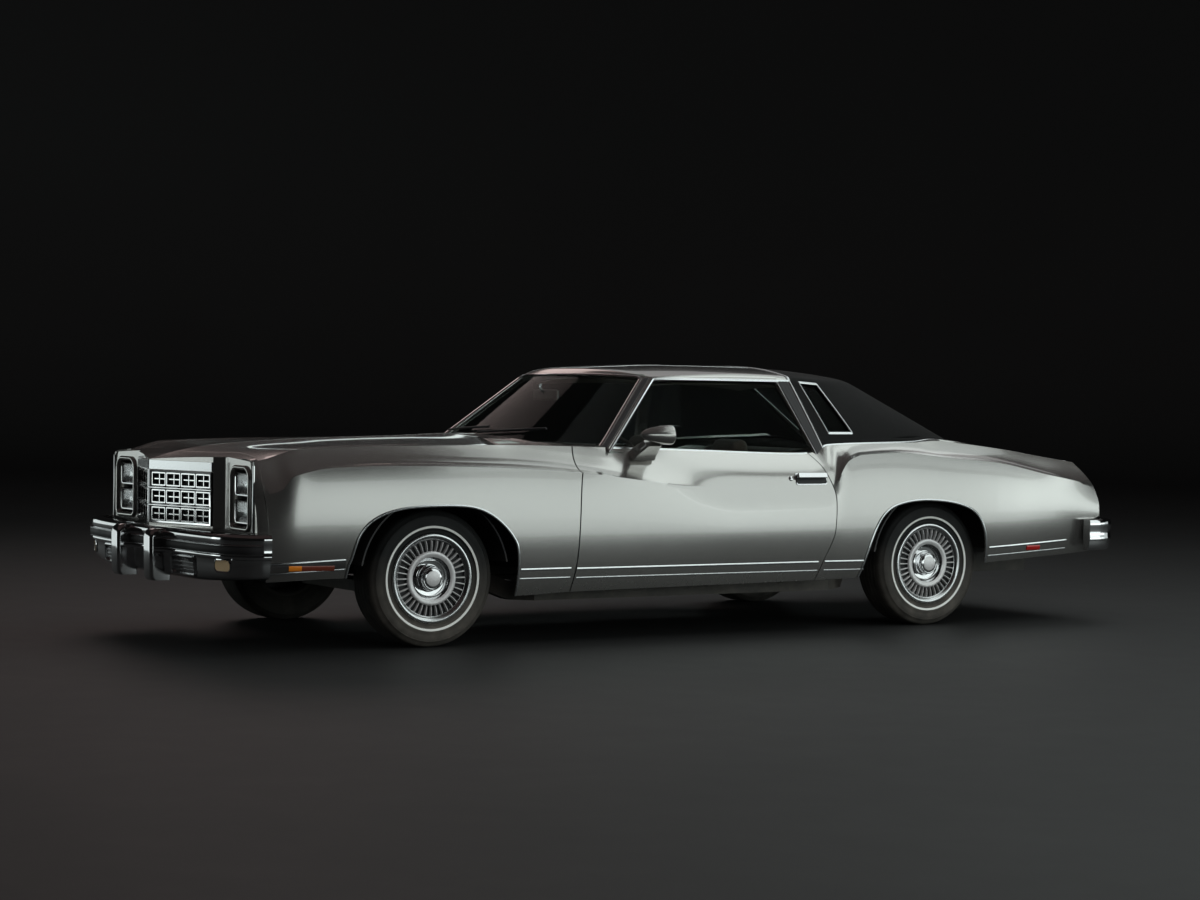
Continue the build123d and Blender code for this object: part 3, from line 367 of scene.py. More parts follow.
def newGroup(name, inputs, outputs):
    group = bpy.data.node_groups.new(name, "ShaderNodeTree")
    for label, kind, value in inputs:
        group.interface.new_socket(label, in_out="INPUT", socket_type=kind).default_value = value
    for label, kind in outputs:
        group.interface.new_socket(label, in_out="OUTPUT", socket_type=kind)
    return group, group.nodes.new("NodeGroupInput"), group.nodes.new("NodeGroupOutput")


def link(tree, *pairs):
    for a, b in pairs:
        tree.links.new(a, b)


def mathNode(tree, kind, a, b):
    # a maths node between two numbers or sockets, as its output
    node = tree.nodes.new("ShaderNodeMath")
    node.operation = kind
    for socket, value in zip(node.inputs, (a, b)):
        if isinstance(value, (int, float)):
            socket.default_value = value
        else:
            tree.links.new(value, socket)
    return node.outputs[0]


def makeMottle():
    # colour drifting by a share of itself over two sizes of noise, and roughness with it
    group, given, out = newGroup("mottle", [("Color", "NodeSocketColor", (0.5, 0.5, 0.5, 1)),
                                            ("Scale", "NodeSocketFloat", 3.0), ("Amount", "NodeSocketFloat", 0.1),
                                            ("Roughness", "NodeSocketFloat", 0.4)],
                                 [("Color", "NodeSocketColor"), ("Roughness", "NodeSocketFloat")])
    place = group.nodes.new("ShaderNodeTexCoord").outputs["Object"]
    wide, fine = (group.nodes.new("ShaderNodeTexNoise") for _ in range(2))
    for noise, times in ((wide, 1.0), (fine, 9.0)):
        link(group, (place, noise.inputs["Vector"]))
        noise.inputs["Detail"].default_value = 3
        link(group, (mathNode(group, "MULTIPLY", given.outputs["Scale"], times), noise.inputs["Scale"]))
    mixed = mathNode(group, "ADD", mathNode(group, "MULTIPLY", wide.outputs["Fac"], 0.6),
                     mathNode(group, "MULTIPLY", fine.outputs["Fac"], 0.4))
    drift = mathNode(group, "MULTIPLY", mathNode(group, "SUBTRACT", mixed, 0.5), given.outputs["Amount"])
    factor = mathNode(group, "ADD", 1.0, mathNode(group, "MULTIPLY", drift, 2.0))
    scale = group.nodes.new("ShaderNodeVectorMath")
    scale.operation = "SCALE"
    link(group, (given.outputs["Color"], scale.inputs[0]), (factor, scale.inputs["Scale"]),
         (scale.outputs[0], out.inputs["Color"]),
         (mathNode(group, "ADD", given.outputs["Roughness"], drift), out.inputs["Roughness"]))
    return group


def makeGrain():
    # height of a fine grain, for a Bump node: noise at one scale with cells of half that size on it
    group, given, out = newGroup("grain", [("Scale", "NodeSocketFloat", 300.0), ("Cells", "NodeSocketFloat", 0.5)],
                                 [("Height", "NodeSocketFloat")])
    place = group.nodes.new("ShaderNodeTexCoord").outputs["Object"]
    noise = group.nodes.new("ShaderNodeTexNoise")
    cells = group.nodes.new("ShaderNodeTexVoronoi")
    link(group, (place, noise.inputs["Vector"]), (place, cells.inputs["Vector"]),
         (given.outputs["Scale"], noise.inputs["Scale"]),
         (mathNode(group, "MULTIPLY", given.outputs["Scale"], 0.7), cells.inputs["Scale"]),
         (mathNode(group, "ADD", noise.outputs["Fac"],
                   mathNode(group, "MULTIPLY", cells.outputs["Distance"], given.outputs["Cells"])),
          out.inputs["Height"]))
    return group


def makeDust():
    # colour and roughness with a little road dust that thins out from 0.12 m to the given height
    group, given, out = newGroup("roadDust", [("Color", "NodeSocketColor", (0.5, 0.5, 0.5, 1)),
                                              ("Roughness", "NodeSocketFloat", 0.3),
                                              ("Dust", "NodeSocketColor", (0.30, 0.27, 0.23, 1)),
                                              ("Height", "NodeSocketFloat", 0.45),
                                              ("Amount", "NodeSocketFloat", 0.25)],
                                 [("Color", "NodeSocketColor"), ("Roughness", "NodeSocketFloat")])
    place = group.nodes.new("ShaderNodeTexCoord").outputs["Object"]
    parts = group.nodes.new("ShaderNodeSeparateXYZ")
    noise = group.nodes.new("ShaderNodeTexNoise")
    noise.inputs["Scale"].default_value = 14
    noise.inputs["Detail"].default_value = 5
    fall = group.nodes.new("ShaderNodeMapRange")
    link(group, (place, parts.inputs[0]), (place, noise.inputs["Vector"]),
         (parts.outputs["Z"], fall.inputs["Value"]), (given.outputs["Height"], fall.inputs["From Min"]))
    fall.inputs["From Max"].default_value = 0.12
    mask = mathNode(group, "MULTIPLY", mathNode(group, "MULTIPLY", fall.outputs[0], noise.outputs["Fac"]),
                    given.outputs["Amount"])
    mix = group.nodes.new("ShaderNodeMix")
    mix.data_type = "RGBA"
    link(group, (mask, mix.inputs["Factor"]), (given.outputs["Color"], mix.inputs[6]),
         (given.outputs["Dust"], mix.inputs[7]), (mix.outputs[2], out.inputs["Color"]),
         (mathNode(group, "ADD", given.outputs["Roughness"], mathNode(group, "MULTIPLY", mask, 0.5)),
          out.inputs["Roughness"]))
    return group


mottle, grain, roadDust = makeMottle(), makeGrain(), makeDust()


def useGroup(tree, group, **values):
    node = tree.nodes.new("ShaderNodeGroup")
    node.node_tree = group
    for label, value in values.items():
        node.inputs[label].default_value = value
    return node


def finish(name, color, roughness, metallic=0.0, drift=0.06, driftScale=3.0, bump=0.0, bumpScale=300.0, cells=0.5,
           bumpDepth=0.0004, dust=0.0, **sockets):
    # one finish: mottled colour, road dust low down, fine grain as bump, and the shader's own plain numbers
    material = bpy.data.materials.new(name)
    material.use_nodes = True
    tree = material.node_tree
    shader = tree.nodes["Principled BSDF"]
    shader.inputs["Metallic"].default_value = metallic
    for label, value in sockets.items():
        shader.inputs[label.replace("_", " ")].default_value = value
    drifted = useGroup(tree, mottle, Color=(*color, 1), Scale=driftScale, Amount=drift, Roughness=roughness)
    if dust:
        dusted = useGroup(tree, roadDust, Amount=dust)
        link(tree, (drifted.outputs["Color"], dusted.inputs["Color"]),
             (drifted.outputs["Roughness"], dusted.inputs["Roughness"]))
        drifted = dusted
    link(tree, (drifted.outputs["Color"], shader.inputs["Base Color"]),
         (drifted.outputs["Roughness"], shader.inputs["Roughness"]))
    if bump:
        grained = useGroup(tree, grain, Scale=bumpScale, Cells=cells)
        node = tree.nodes.new("ShaderNodeBump")
        node.inputs["Strength"].default_value = bump
        node.inputs["Distance"].default_value = bumpDepth
        link(tree, (grained.outputs["Height"], node.inputs["Height"]), (node.outputs[0], shader.inputs["Normal"]))
    return material


paintTones = {"silver": (0.47, 0.46, 0.44), "flake": 0.93, "gloss": 0.2}
silverPaint = finish("silver_paint", paintTones["silver"], paintTones["gloss"], metallic=paintTones["flake"],
                     drift=0.04, driftScale=1.5, bump=0.06, bumpScale=2500, bumpDepth=0.00005, dust=0.5,
                     Coat_Weight=1.0, Coat_Roughness=0.03, Coat_IOR=1.5)
chrome = finish("chrome", (0.78, 0.78, 0.79), 0.07, metallic=1.0, drift=0.05, driftScale=6, dust=0.3)
vinylTop = finish("landau_vinyl", (0.004, 0.004, 0.004), 0.6, drift=0.25, driftScale=5, bump=0.55, bumpScale=420,
                  cells=1.0, bumpDepth=0.0008, Specular_IOR_Level=0.16)
blackRubber = finish("black_rubber", (0.018, 0.018, 0.019), 0.55, drift=0.3, driftScale=9, bump=0.3, bumpScale=500,
                     dust=0.6)
tyreRubber = finish("tyre_rubber", (0.005, 0.0055, 0.0055), 0.7, drift=0.3, driftScale=9, bump=0.3, bumpScale=420,
                    dust=0.45)
whiteRubber = finish("whitewall_rubber", (0.86, 0.88, 0.84), 0.5, drift=0.12, driftScale=20, bump=0.15,
                     bumpScale=500)
darkMetal = finish("underbody_black", (0.030, 0.030, 0.031), 0.55, metallic=0.2, drift=0.4, driftScale=6, bump=0.3,
                   bumpScale=160, dust=0.8)
castIron = finish("axle_iron", (0.06, 0.058, 0.055), 0.5, metallic=0.6, drift=0.4, driftScale=8, bump=0.4,
                  bumpScale=220, dust=0.6)
steelPipe = finish("exhaust_steel", (0.22, 0.20, 0.18), 0.42, metallic=0.9, drift=0.4, driftScale=7, bump=0.2,
                   bumpScale=200)
engineEnamel = finish("engine_enamel", (0.045, 0.075, 0.12), 0.42, drift=0.3, driftScale=7, bump=0.25,
                      bumpScale=160)
cabinTrim = finish("cabin_vinyl", (0.060, 0.045, 0.036), 0.55, drift=0.15, driftScale=6, bump=0.5, bumpScale=600,
                   cells=0.9, bumpDepth=0.0003)
dashPad = finish("dash_pad", (0.040, 0.030, 0.025), 0.58, drift=0.15, driftScale=6, bump=0.5, bumpScale=600,
                 bumpDepth=0.0003)
headlining = finish("headlining", (0.20, 0.17, 0.14), 0.85, drift=0.1, driftScale=9, bump=0.4, bumpScale=900)
carpet = finish("carpet", (0.045, 0.032, 0.026), 0.95, drift=0.4, driftScale=12, bump=1.0, bumpScale=900,
                bumpDepth=0.002, Sheen_Weight=0.3)
seatVelour = finish("seat_velour", (0.085, 0.058, 0.045), 0.9, drift=0.18, driftScale=5, bump=0.6, bumpScale=1500,
                    bumpDepth=0.0006, Sheen_Weight=0.35)
glass = finish("window_glass", (0.58, 0.64, 0.62), 0.02, drift=0.01, Transmission_Weight=1.0, IOR=1.05)
lampGlass = finish("lamp_glass", (0.93, 0.95, 0.96), 0.04, drift=0.02, Transmission_Weight=1.0, IOR=1.45)
brightAluminium = finish("bright_aluminium", (0.74, 0.75, 0.76), 0.2, metallic=1.0, drift=0.04, driftScale=7,
                         dust=0.3)
# rear part of the front side marker: a darker, redder copy of the amber lens, painted shade where the lens fades from
# its bright front
markerPaintedShade = finish("marker_painted_shade", (0.16, 0.035, 0.02), 0.15, Coat_Weight=0.5)
coverSilver = finish("cover_silver", (0.74, 0.74, 0.74), 0.32, metallic=0.45, drift=0.05, driftScale=9, dust=0.3)
# park lens: an amber lens colour, raised pale and bright as painted light for the lens's lit, reflecting look
parkLensPaintedLight = finish("park_lens", (0.95, 0.72, 0.42), 0.12, drift=0.06, driftScale=30, Coat_Weight=0.6)
amberLens = finish("amber_lens", (0.80, 0.24, 0.02), 0.12, drift=0.08, driftScale=30, Coat_Weight=0.6)
redLens = finish("red_lens", (0.42, 0.010, 0.008), 0.12, drift=0.08, driftScale=30, Coat_Weight=0.6)
reflector = finish("lamp_reflector", (0.86, 0.86, 0.84), 0.10, metallic=1.0, drift=0.03)
grilleBlack = finish("grille_black", (0.012, 0.012, 0.013), 0.5, drift=0.2, bump=0.2)
print("materials made")

finishNodes = [  # each finish with the CAD nodes that show it until a piece takes their place
    (silverPaint, "header_panel hood cowl_panel roof_panel deck_filler deck_lid tail_panel fender_left fender_right"
                  " door_left door_right quarter_panel_left quarter_panel_right"),
    (darkMetal, "chassis_frame floor_pan wheelhouses radiator_support fuel_tank"),
    (castIron, "driveshaft rear_axle front_suspension steering_knuckle_left steering_knuckle_right"),
    (chrome, "grille lamp_bezels front_bumper rear_bumper wheel_front_left wheel_front_right wheel_rear_left"
             " wheel_rear_right"),
    (tyreRubber, "tyre_front_left tyre_front_right tyre_rear_left tyre_rear_right"),
    (glass, "fixed_glass door_glass_left door_glass_right"), (dashPad, "dashboard steering_wheel"),
    (seatVelour, "front_seats rear_seat"), (engineEnamel, "engine"), (steelPipe, "exhaust"), (lampGlass, "headlamps"),
    (amberLens, "park_lamps"), (vinylTop, "landau_roof"), (redLens, "tail_lamps"),
]
nodeFinishes = {name: material for material, names in finishNodes for name in names.split()}
for name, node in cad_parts.items():
    node.data.materials.clear()
    node.data.materials.append(nodeFinishes[name])


# Painted lower body

seams = {  # each (y, z), from below the sill to above the belt
    "fenderFront": [(-2396, 100), (-2398, 500), (-2424, 870), (-2430, 1100)],
    "doorFront": [(-842, 190), (-836, 245), (-816, 397), (-806, 600), (-799, 780), (-781, 938), (-772, 1010)],
    "doorRear": [(577, 190), (606, 263), (643, 363), (703, 515), (712, 667), (659, 820), (594, 911), (520, 1010)],
    "tail": [(2529, 300), (2529, 535), (2591, 552), (2591, 610), (2561, 700), (2505, 785), (2433, 900),
             (2380, 1100)],
}
arches = {  # edges of the wheel openings, each (y from the axle, z)
    "front": [(-475, 180), (-463, 370), (-449, 425), (-410, 538), (-334, 610), (-207, 652), (-25, 665), (161, 657),
              (279, 612), (378, 523), (417, 428), (425, 180)],
    "rear": [(-521, 180), (-473, 357), (-418, 510), (-355, 596), (-259, 642), (-95, 660), (104, 642), (240, 593),
             (310, 497), (341, 338), (349, 180)],
}


def archLine(name, axle, count=120):
    # the wheel opening's edge above the sill, as (y, z)
    line = smoothPath(arches[name], 600) + [axle, 0]
    above = line[line[:, 1] > along(line[:, 0], bodyLines["sill"])]
    first, last = ([y, along(y, bodyLines["sill"])] for y in (above[0, 0], above[-1, 0]))
    return evenly(np.vstack([first, above, last]), count)


def sillWithArch(front, rear, arch=None, axle=0.0):
    # lower edge of a side panel in (y, t): the sill, the wheel opening, the sill again
    if arch is None:
        y = np.linspace(front, rear, 120)
        return np.stack([y, 0 * y], axis=1)
    line = archLine(arch, axle)
    opening = np.stack([line[:, 0], skinAtZ(line[:, 0], line[:, 1])], axis=1)
    ahead = np.linspace(front, line[0, 0], 24)[:-1]
    behind = np.linspace(line[-1, 0], rear, 24)[1:]
    return np.vstack([np.stack([ahead, 0 * ahead], axis=1), opening, np.stack([behind, 0 * behind], axis=1)])


panelRows = (36, 18, 8)  # below the ridge, up to the shoulder and above it


def sidePanel(front, rear, topX, arch=None, axle=0.0, shifts=(0.0, 0.0)):
    # outer grid of a side panel between two seams, with one row along the ridge and one along the shoulder
    def column(low, high):
        # t of each row: shares of the way from the lower edge to the ridge, the shoulder and the top
        ends = [low, np.ones_like(low), np.full_like(low, 2.0), high]
        parts = [ends[i][:, None] + (ends[i + 1] - ends[i])[:, None] * np.linspace(0, 1, rows + 1)[:-1]
                 for i, rows in enumerate(panelRows)]
        return np.concatenate(parts + [high[:, None]], axis=1)

    def edge(keys, shift):
        # (y, t) of the rows' ends along a seam, up to the top's distance from the middle
        high = np.array([2.5])
        for _ in range(4):
            t = column(np.zeros(1), high)[0]
            line = seam(keys, t, shift)
            high = skinAtX(line[-1:, 0], np.array([float(topX)]))
        return line
    left, right = edge(front, shifts[0]), edge(rear, shifts[1])
    bottom = sillWithArch(left[0, 0], right[0, 0], arch, axle)
    run = np.concatenate([[0], np.cumsum(np.linalg.norm(np.diff(bottom * [1, 350], axis=0), axis=1))])
    share = 0.5 * run / run[-1] + 0.5 * (bottom[:, 0] - bottom[0, 0]) / (bottom[-1, 0] - bottom[0, 0])
    topY = left[-1, 0] + share * (right[-1, 0] - left[-1, 0])
    t = column(bottom[:, 1], skinAtX(topY, np.full_like(topY, float(topX))))
    up = np.linspace(0, 1, t.shape[1])[None]
    y = bottom[:, :1] + (topY[:, None] - bottom[:, :1]) * up
    y = y + (1 - share)[:, None] * (left[:, 0] - y[0]) + share[:, None] * (right[:, 0] - y[-1])
    return bodyPoint(y, t)


bodyFit = {"wall": 12.0, "topWall": 14.0, "edge": 2.6, "topGap": 5.0, "doorTop": 806.0}
fenderSkin = sidePanel(seams["fenderFront"], seams["doorFront"], hoodEdge + bodyFit["topGap"], arch="front",
                       axle=frontAxle, shifts=(0, -6))
bothSides("fender_skin", panel(fenderSkin, bodyFit["wall"]), silverPaint, slotName="silver_paint", replaces="fender",
          bevel=bodyFit["edge"])
quarterSkin = sidePanel(seams["doorRear"], seams["tail"], deckEdge + bodyFit["topGap"], arch="rear", axle=rearAxle,
                        shifts=(5, 0))
bothSides("quarter_skin", panel(quarterSkin, bodyFit["wall"]), silverPaint, slotName="silver_paint",
          replaces="quarter_panel", bevel=bodyFit["edge"])

doorSkin = sidePanel(seams["doorFront"], seams["doorRear"], bodyFit["doorTop"])
doorInner = np.stack([np.clip(doorSkin[..., 0] - 18, 797, 842 - (doorSkin[..., 2] - 330) * 0.07), doorSkin[..., 1],
                      doorSkin[..., 2]], axis=-1)
bothSides("door_skin", slab(doorSkin, doorInner), silverPaint, "door", slotName="silver_paint", replaces="door",
          bevel=bodyFit["edge"])


def topPanel(front, rear, edgeX, columns=70, frontLine=None, rearKeys=None):
    # grid of a panel across the car, from a front line given as (x, y) or to a rear seam given as (y, z)
    share = np.linspace(0, 1, columns)[:, None]
    y = np.linspace(front, rear, columns)
    edge = skinAtX(y, np.full_like(y, float(edgeX)))[:, None]
    t = edge + np.linspace(0, 1, 40) * (3 - edge)
    y = np.broadcast_to(y[:, None], t.shape)
    for _ in range(6):
        skin = bodyPoint(y, t)
        if rearKeys:
            y = front + share * (along(skin[-1, :, 2], [(z, at) for at, z in rearKeys]) - front)
        else:
            start = np.interp(skin[0, :, 0], *zip(*frontLine))
            y = start + share * (rear - start)
    half = bodyPoint(y, t)
    other = half[:, ::-1][:, 1:] * [-1, 1, 1]
    return np.concatenate([half, other], axis=1)


hoodFront = [(0, -2487), (440, -2363), (480, -2358), (694, -2387)]
hoodSkin = topPanel(-2400, -905, hoodEdge, columns=110, frontLine=hoodFront)
addPiece("hood_skin", panel(hoodSkin, bodyFit["topWall"]), silverPaint, "hood", "silver_paint", "hood",
         bevel=bodyFit["edge"])
deckSkin = topPanel(1752, 2440, deckEdge, rearKeys=seams["tail"])
addPiece("deck_skin", panel(deckSkin, bodyFit["topWall"]), silverPaint, "deck_lid", "silver_paint",
         bevel=bodyFit["edge"])
print("painted body made")


# Greenhouse: one height over the plan, the lowest of the crown, the windshield, the rear window and the side
# walls, blended at their corners

posts = {  # each (z, x, y), from the belt to above the roof
    "windshieldFoot": [(860, 912, -684), (970, 842, -560), (1287, 640, -200), (1400, 568, -72)],
    "windshieldMiddle": [(860, 0, -940), (970, 0, -790), (1287, 0, -372), (1400, 0, -222)],
    "windowMiddle": [(860, 892, 60), (970, 828, 80), (1287, 640, 190), (1400, 572, 200)],
    "pillarMiddle": [(860, 888, 690), (970, 826, 680), (1287, 636, 590), (1400, 566, 560)],
    "sailMiddle": [(860, 850, 1260), (970, 806, 1190), (1287, 612, 860), (1400, 545, 720)],
    "backlightFoot": [(860, 745, 1830), (970, 680, 1640), (1287, 502, 1076), (1400, 440, 870)],
    "backlightMiddle": [(860, 0, 1950), (970, 0, 1745), (1287, 0, 1140), (1400, 0, 930)],
}
roofMiddle = [(-640, 1235), (-372, 1314), (-115, 1335), (132, 1345), (512, 1344), (800, 1332), (1078, 1302),
              (1300, 1262)]
roofRail = [(-640, 1215), (-195, 1285), (0, 1297), (300, 1303), (562, 1297), (900, 1277), (1078, 1258), (1300, 1218)]


def postAt(name, z):
    # (x, y) of a post at height z
    return (along(z, [(h, x) for h, x, _ in posts[name]]), along(z, [(h, y) for h, _, y in posts[name]]))


def bowed(x, z, middle, foot, share):
    # y of the windshield or rear window: its middle's y, plus the way to its foot post's y times
    # share * u + (1 - share) * u squared, where u is x over the foot's x, squared
    footX, footY = postAt(foot, z)
    u = (x / footX) ** 2
    middleY = postAt(middle, z)[1]
    return middleY + (footY - middleY) * (share * u + (1 - share) * u * u)


def windshieldY(x, z):
    return bowed(x, z, "windshieldMiddle", "windshieldFoot", 0.74)


def backlightY(x, z):
    return bowed(x, z, "backlightMiddle", "backlightFoot", 0.826)


def sideX(y, z):
    # x of the side wall at y and z: a polynomial in y through the five posts at that height
    names = ("windshieldFoot", "windowMiddle", "pillarMiddle", "sailMiddle", "backlightFoot")
    knotX, knotY = zip(*[postAt(name, z) for name in names])
    return polynomial(y, knotY, knotX)


def crownZ(x, y):
    # height of the roof's top: the middle's less near * (x / 520) to the power that makes the drop far at x 900
    middle, rail = along(y, roofMiddle), along(y, roofRail)
    near, far = 0.64 * (middle - rail), 1.75 * (middle - rail) + 60
    return middle - near * (np.abs(x) / 520) ** (np.log(far / near) / math.log(900 / 520))


cornerBlend = 6.0


def roofZ(x, y):
    # height of the greenhouse: its lowest wall less blend * log of the sum of exp(-(wall - lowest) / blend)
    x, y = np.broadcast_arrays(np.abs(np.asarray(x, float)), np.asarray(y, float))
    low, high = np.full_like(x, 860.0), np.full_like(x, 1400.0)
    walls = [crownZ(x, y), bisect(lambda z: windshieldY(x, z), y, low, high),
             bisect(lambda z: backlightY(x, z), y, low, high), bisect(lambda z: sideX(y, z), x, low, high)]
    lowest = np.min(walls, axis=0)
    return lowest - cornerBlend * np.log(sum(np.exp(-(wall - lowest) / cornerBlend) for wall in walls))


def roofPoint(plan, lift=0.0):
    # points and normals of the greenhouse over plan points
    x, y = plan[..., 0], plan[..., 1]
    z = roofZ(x, y)
    step = 3.0
    slopeX = (roofZ(x + step, y) - roofZ(x - step, y)) / (2 * step)
    slopeY = (roofZ(x, y + step) - roofZ(x, y - step)) / (2 * step)
    normal = unit(np.stack([-slopeX, -slopeY, np.ones_like(x)], axis=-1))
    return np.stack([x, y, z], axis=-1) + lift * normal, normal


def sideLine(points, count):
    # plan points of the side wall along a line given as (y, z)
    line = evenly(points, count)
    return np.stack([sideX(line[:, 0], line[:, 1]), line[:, 0]], axis=1)


def frontLine(points, count, surface):
    # plan points of the windshield or rear window along a line given as (x, z)
    line = evenly(points, count)
    return np.stack([line[:, 0], surface(line[:, 0], line[:, 1])], axis=1)


def swapped(line):
    return line * [-1, 1]


edges = {  # of the windshield and rear window as (x, z), of the sides as (y, z)
    "shieldSide": [(826, 940), (800, 982), (604, 1268)],
    "shieldTop": [(604, 1268), (570, 1282), (300, 1289), (0, 1291)],
    "backSide": [(640, 965), (628, 985), (474, 1242)], "backTop": [(474, 1242), (430, 1257), (200, 1266), (0, 1268)],
    "doorFront": [(-600, 910), (-566, 942), (-206, 1272)], "doorTop": [(-206, 1272), (548, 1268)],
    "doorRear": [(652, 890), (640, 935), (548, 1268)], "split": [(708, 890), (700, 938), (631, 1268)],
    "operaFront": [(770, 1003), (690, 1262)], "operaTop": [(690, 1262), (806, 1254)],
    "operaRear": [(926, 1003), (806, 1254)], "operaFoot": [(770, 1003), (926, 1003)],
}


def splitAcross(count):
    # the line over the roof where the covering starts
    x = np.linspace(1, -1, count)
    start = sideLine(edges["split"], 9)[-1]
    return np.stack([x * start[0], start[1] - 14 * (1 - x * x)], axis=1)


def roofPatches(patches):
    # several plan grids as one merged surface
    return joined(*[(roofPoint(grid)[0], gridFaces(*grid.shape[:2])) for grid in patches])


def bothWays(grids):
    # plan grids with their mirror images
    return grids + [grid[:, ::-1] * [-1, 1] for grid in grids]


def ruled(a, b, count):
    # grid of straight lines between two lines
    t = np.linspace(0, 1, count)[None, :, None]
    return a[:, None] * (1 - t) + b[:, None] * t


shieldSide, shieldTop = (frontLine(edges[n], c, windshieldY) for n, c in (("shieldSide", 40), ("shieldTop", 41)))
backSide, backTop = (frontLine(edges[n], c, backlightY) for n, c in (("backSide", 40), ("backTop", 41)))
doorFront, doorTop, doorRear, split = (sideLine(edges[n], c) for n, c in
                                       (("doorFront", 40), ("doorTop", 50), ("doorRear", 40), ("split", 40)))
splitOver = splitAcross(81)
dripPath = np.vstack([doorFront, doorTop[1:], ruled(doorRear[-1:], split[-1:], 8)[0, 1:]])
leftPath = np.vstack([ruled(shieldSide[-1:], doorFront[-1:], 8)[0], dripPath[len(doorFront):]])
shieldOver, backOver = (np.vstack([line, swapped(line)[::-1][1:]]) for line in (shieldTop, backTop))
roofCap = coons(leftPath, swapped(leftPath), shieldOver, splitOver)
frontPatches = bothWays([ruled(shieldSide, doorFront, 8), ruled(doorRear, split, 8)]) + [roofCap]

operaFront, operaTop, operaRear, operaFoot = (
    sideLine(edges[n], c) for n, c in (("operaFront", 30), ("operaTop", 14), ("operaRear", 30), ("operaFoot", 16)))
lowFront, lowRear = (sideLine([(y, 890), (y, 1003)], 14) for y in (770, 926))
splitHigh = sideLine([(686.5, 1003), (631, 1268)], 30)
splitLow = sideLine([(708, 890), (700, 938), (686.5, 1003)], 14)
sailPath = np.vstack([lowRear, operaRear[1:]])
backPath = np.vstack([frontLine([(676, 905), (640, 965)], 5, backlightY)[:-1], backSide])
backPath = evenly(backPath, len(sailPath))
sail = ruled(sailPath, backPath, 40)
rearPatches = bothWays([ruled(splitHigh, operaFront, 8), ruled(splitLow, lowFront, 8), ruled(lowFront, lowRear, 16),
                        sail])
capLeft = np.vstack([ruled(split[-1:], operaFront[-1:], 8)[0], operaTop[1:],
                     ruled(operaRear[-1:], backSide[-1:], 40)[0, 1:]])
rearPatches.append(coons(capLeft, swapped(capLeft), splitOver, backOver))


roofFit = {"wall": 24.0, "glass": 5.0, "glassInset": 10.0}


def addShell(name, shape, material, slotName, replaces):
    # joined surface, turned to face up and out, and given a thickness inwards
    piece = addPiece(name, shape, material, "body", slotName, replaces, merge=True, sharp=40)
    if sum(face.normal.z for face in piece.data.polygons) < 0:
        piece.data.flip_normals()
    wall = piece.modifiers.new("wall", "SOLIDIFY")
    wall.thickness = roofFit["wall"] * metre
    wall.offset = -1
    wall.use_even_offset = True


addShell("roof_skin", roofPatches(frontPatches), silverPaint, "silver_paint", "roof_panel")
addShell("landau_skin", roofPatches(rearPatches), vinylTop, "vinyl", "landau_roof")


def paneFront(edge, top, surface, turn, name):
    # curved pane across the car, its sides and top just under the frame
    side = evenly(edges[edge], 40)
    q = np.linspace(-1, 1, 61)
    zTop = along(np.abs(q) * edges[edge][-1][0], sorted((x, z) for x, z in edges[top]))
    low = edges[edge][0][1]
    v = np.linspace(0, 1, 40)[:, None]
    z = low + 4 + v * (zTop[None] + 6 - low)
    half = np.interp(z, side[:, 1], side[:, 0]) + 8
    x = q[None] * half
    outer = np.stack([x, surface(x, z) + turn * roofFit["glassInset"], z], axis=-1)
    inner = outer + [0, turn * roofFit["glass"], 0]
    return addPiece(name, slab(outer, inner), glass, slotName="window_glass", sharp=30)


windshield = paneFront("shieldSide", "shieldTop", windshieldY, 1, "windshield_pane")
paneFront("backSide", "backTop", backlightY, -1, "rear_window_pane")
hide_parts("fixed_glass")


def paneSide(corners, grow, inset):
    # curved side pane between four corners (y, z), front low, front high, rear high, rear low
    a, b, c, d = (np.array(p, float) for p in corners)
    u, v = np.linspace(0, 1, 40)[:, None, None], np.linspace(0, 1, 30)[None, :, None]
    yz = (1 - u) * ((1 - v) * a + v * b) + u * ((1 - v) * d + v * c)
    middle = yz.mean(axis=(0, 1))
    yz = yz + np.clip((yz - middle) / 50, -1, 1) * grow
    x = sideX(yz[..., 0], yz[..., 1]) - inset
    outer = np.concatenate([x[..., None], yz], axis=-1)
    return slab(outer, outer - [roofFit["glass"], 0, 0])


bothSides("quarter_pane", paneSide([(770, 1003), (690, 1262), (806, 1254), (926, 1003)], 6, 12), glass,
          slotName="window_glass")
bothSides("door_pane", paneSide([(-592, 905), (-212, 1262), (538, 1259), (636, 905)], 0, 12), glass, "door",
          slotName="window_glass", replaces="door_glass")
print("greenhouse made")


# Tyres, wheels and their bright covers

wheelPlaces = {  # x and y of the middle, and the side that faces out
    "front_left": (786.0, frontAxle, 1), "front_right": (-786.0, frontAxle, -1),
    "rear_left": (776.0, rearAxle, 1), "rear_right": (-776.0, rearAxle, -1),
}
tyreFit = {"radius": 323.0, "grooves": (-58, -30, 0, 30, 58), "grooveWidth": 6.0, "grooveDepth": 7.0,
           "ringRadius": 241.0}
coverFit = {"slots": 36, "slotOuter": 175.0, "slotInner": 130.0, "finShare": 0.26}


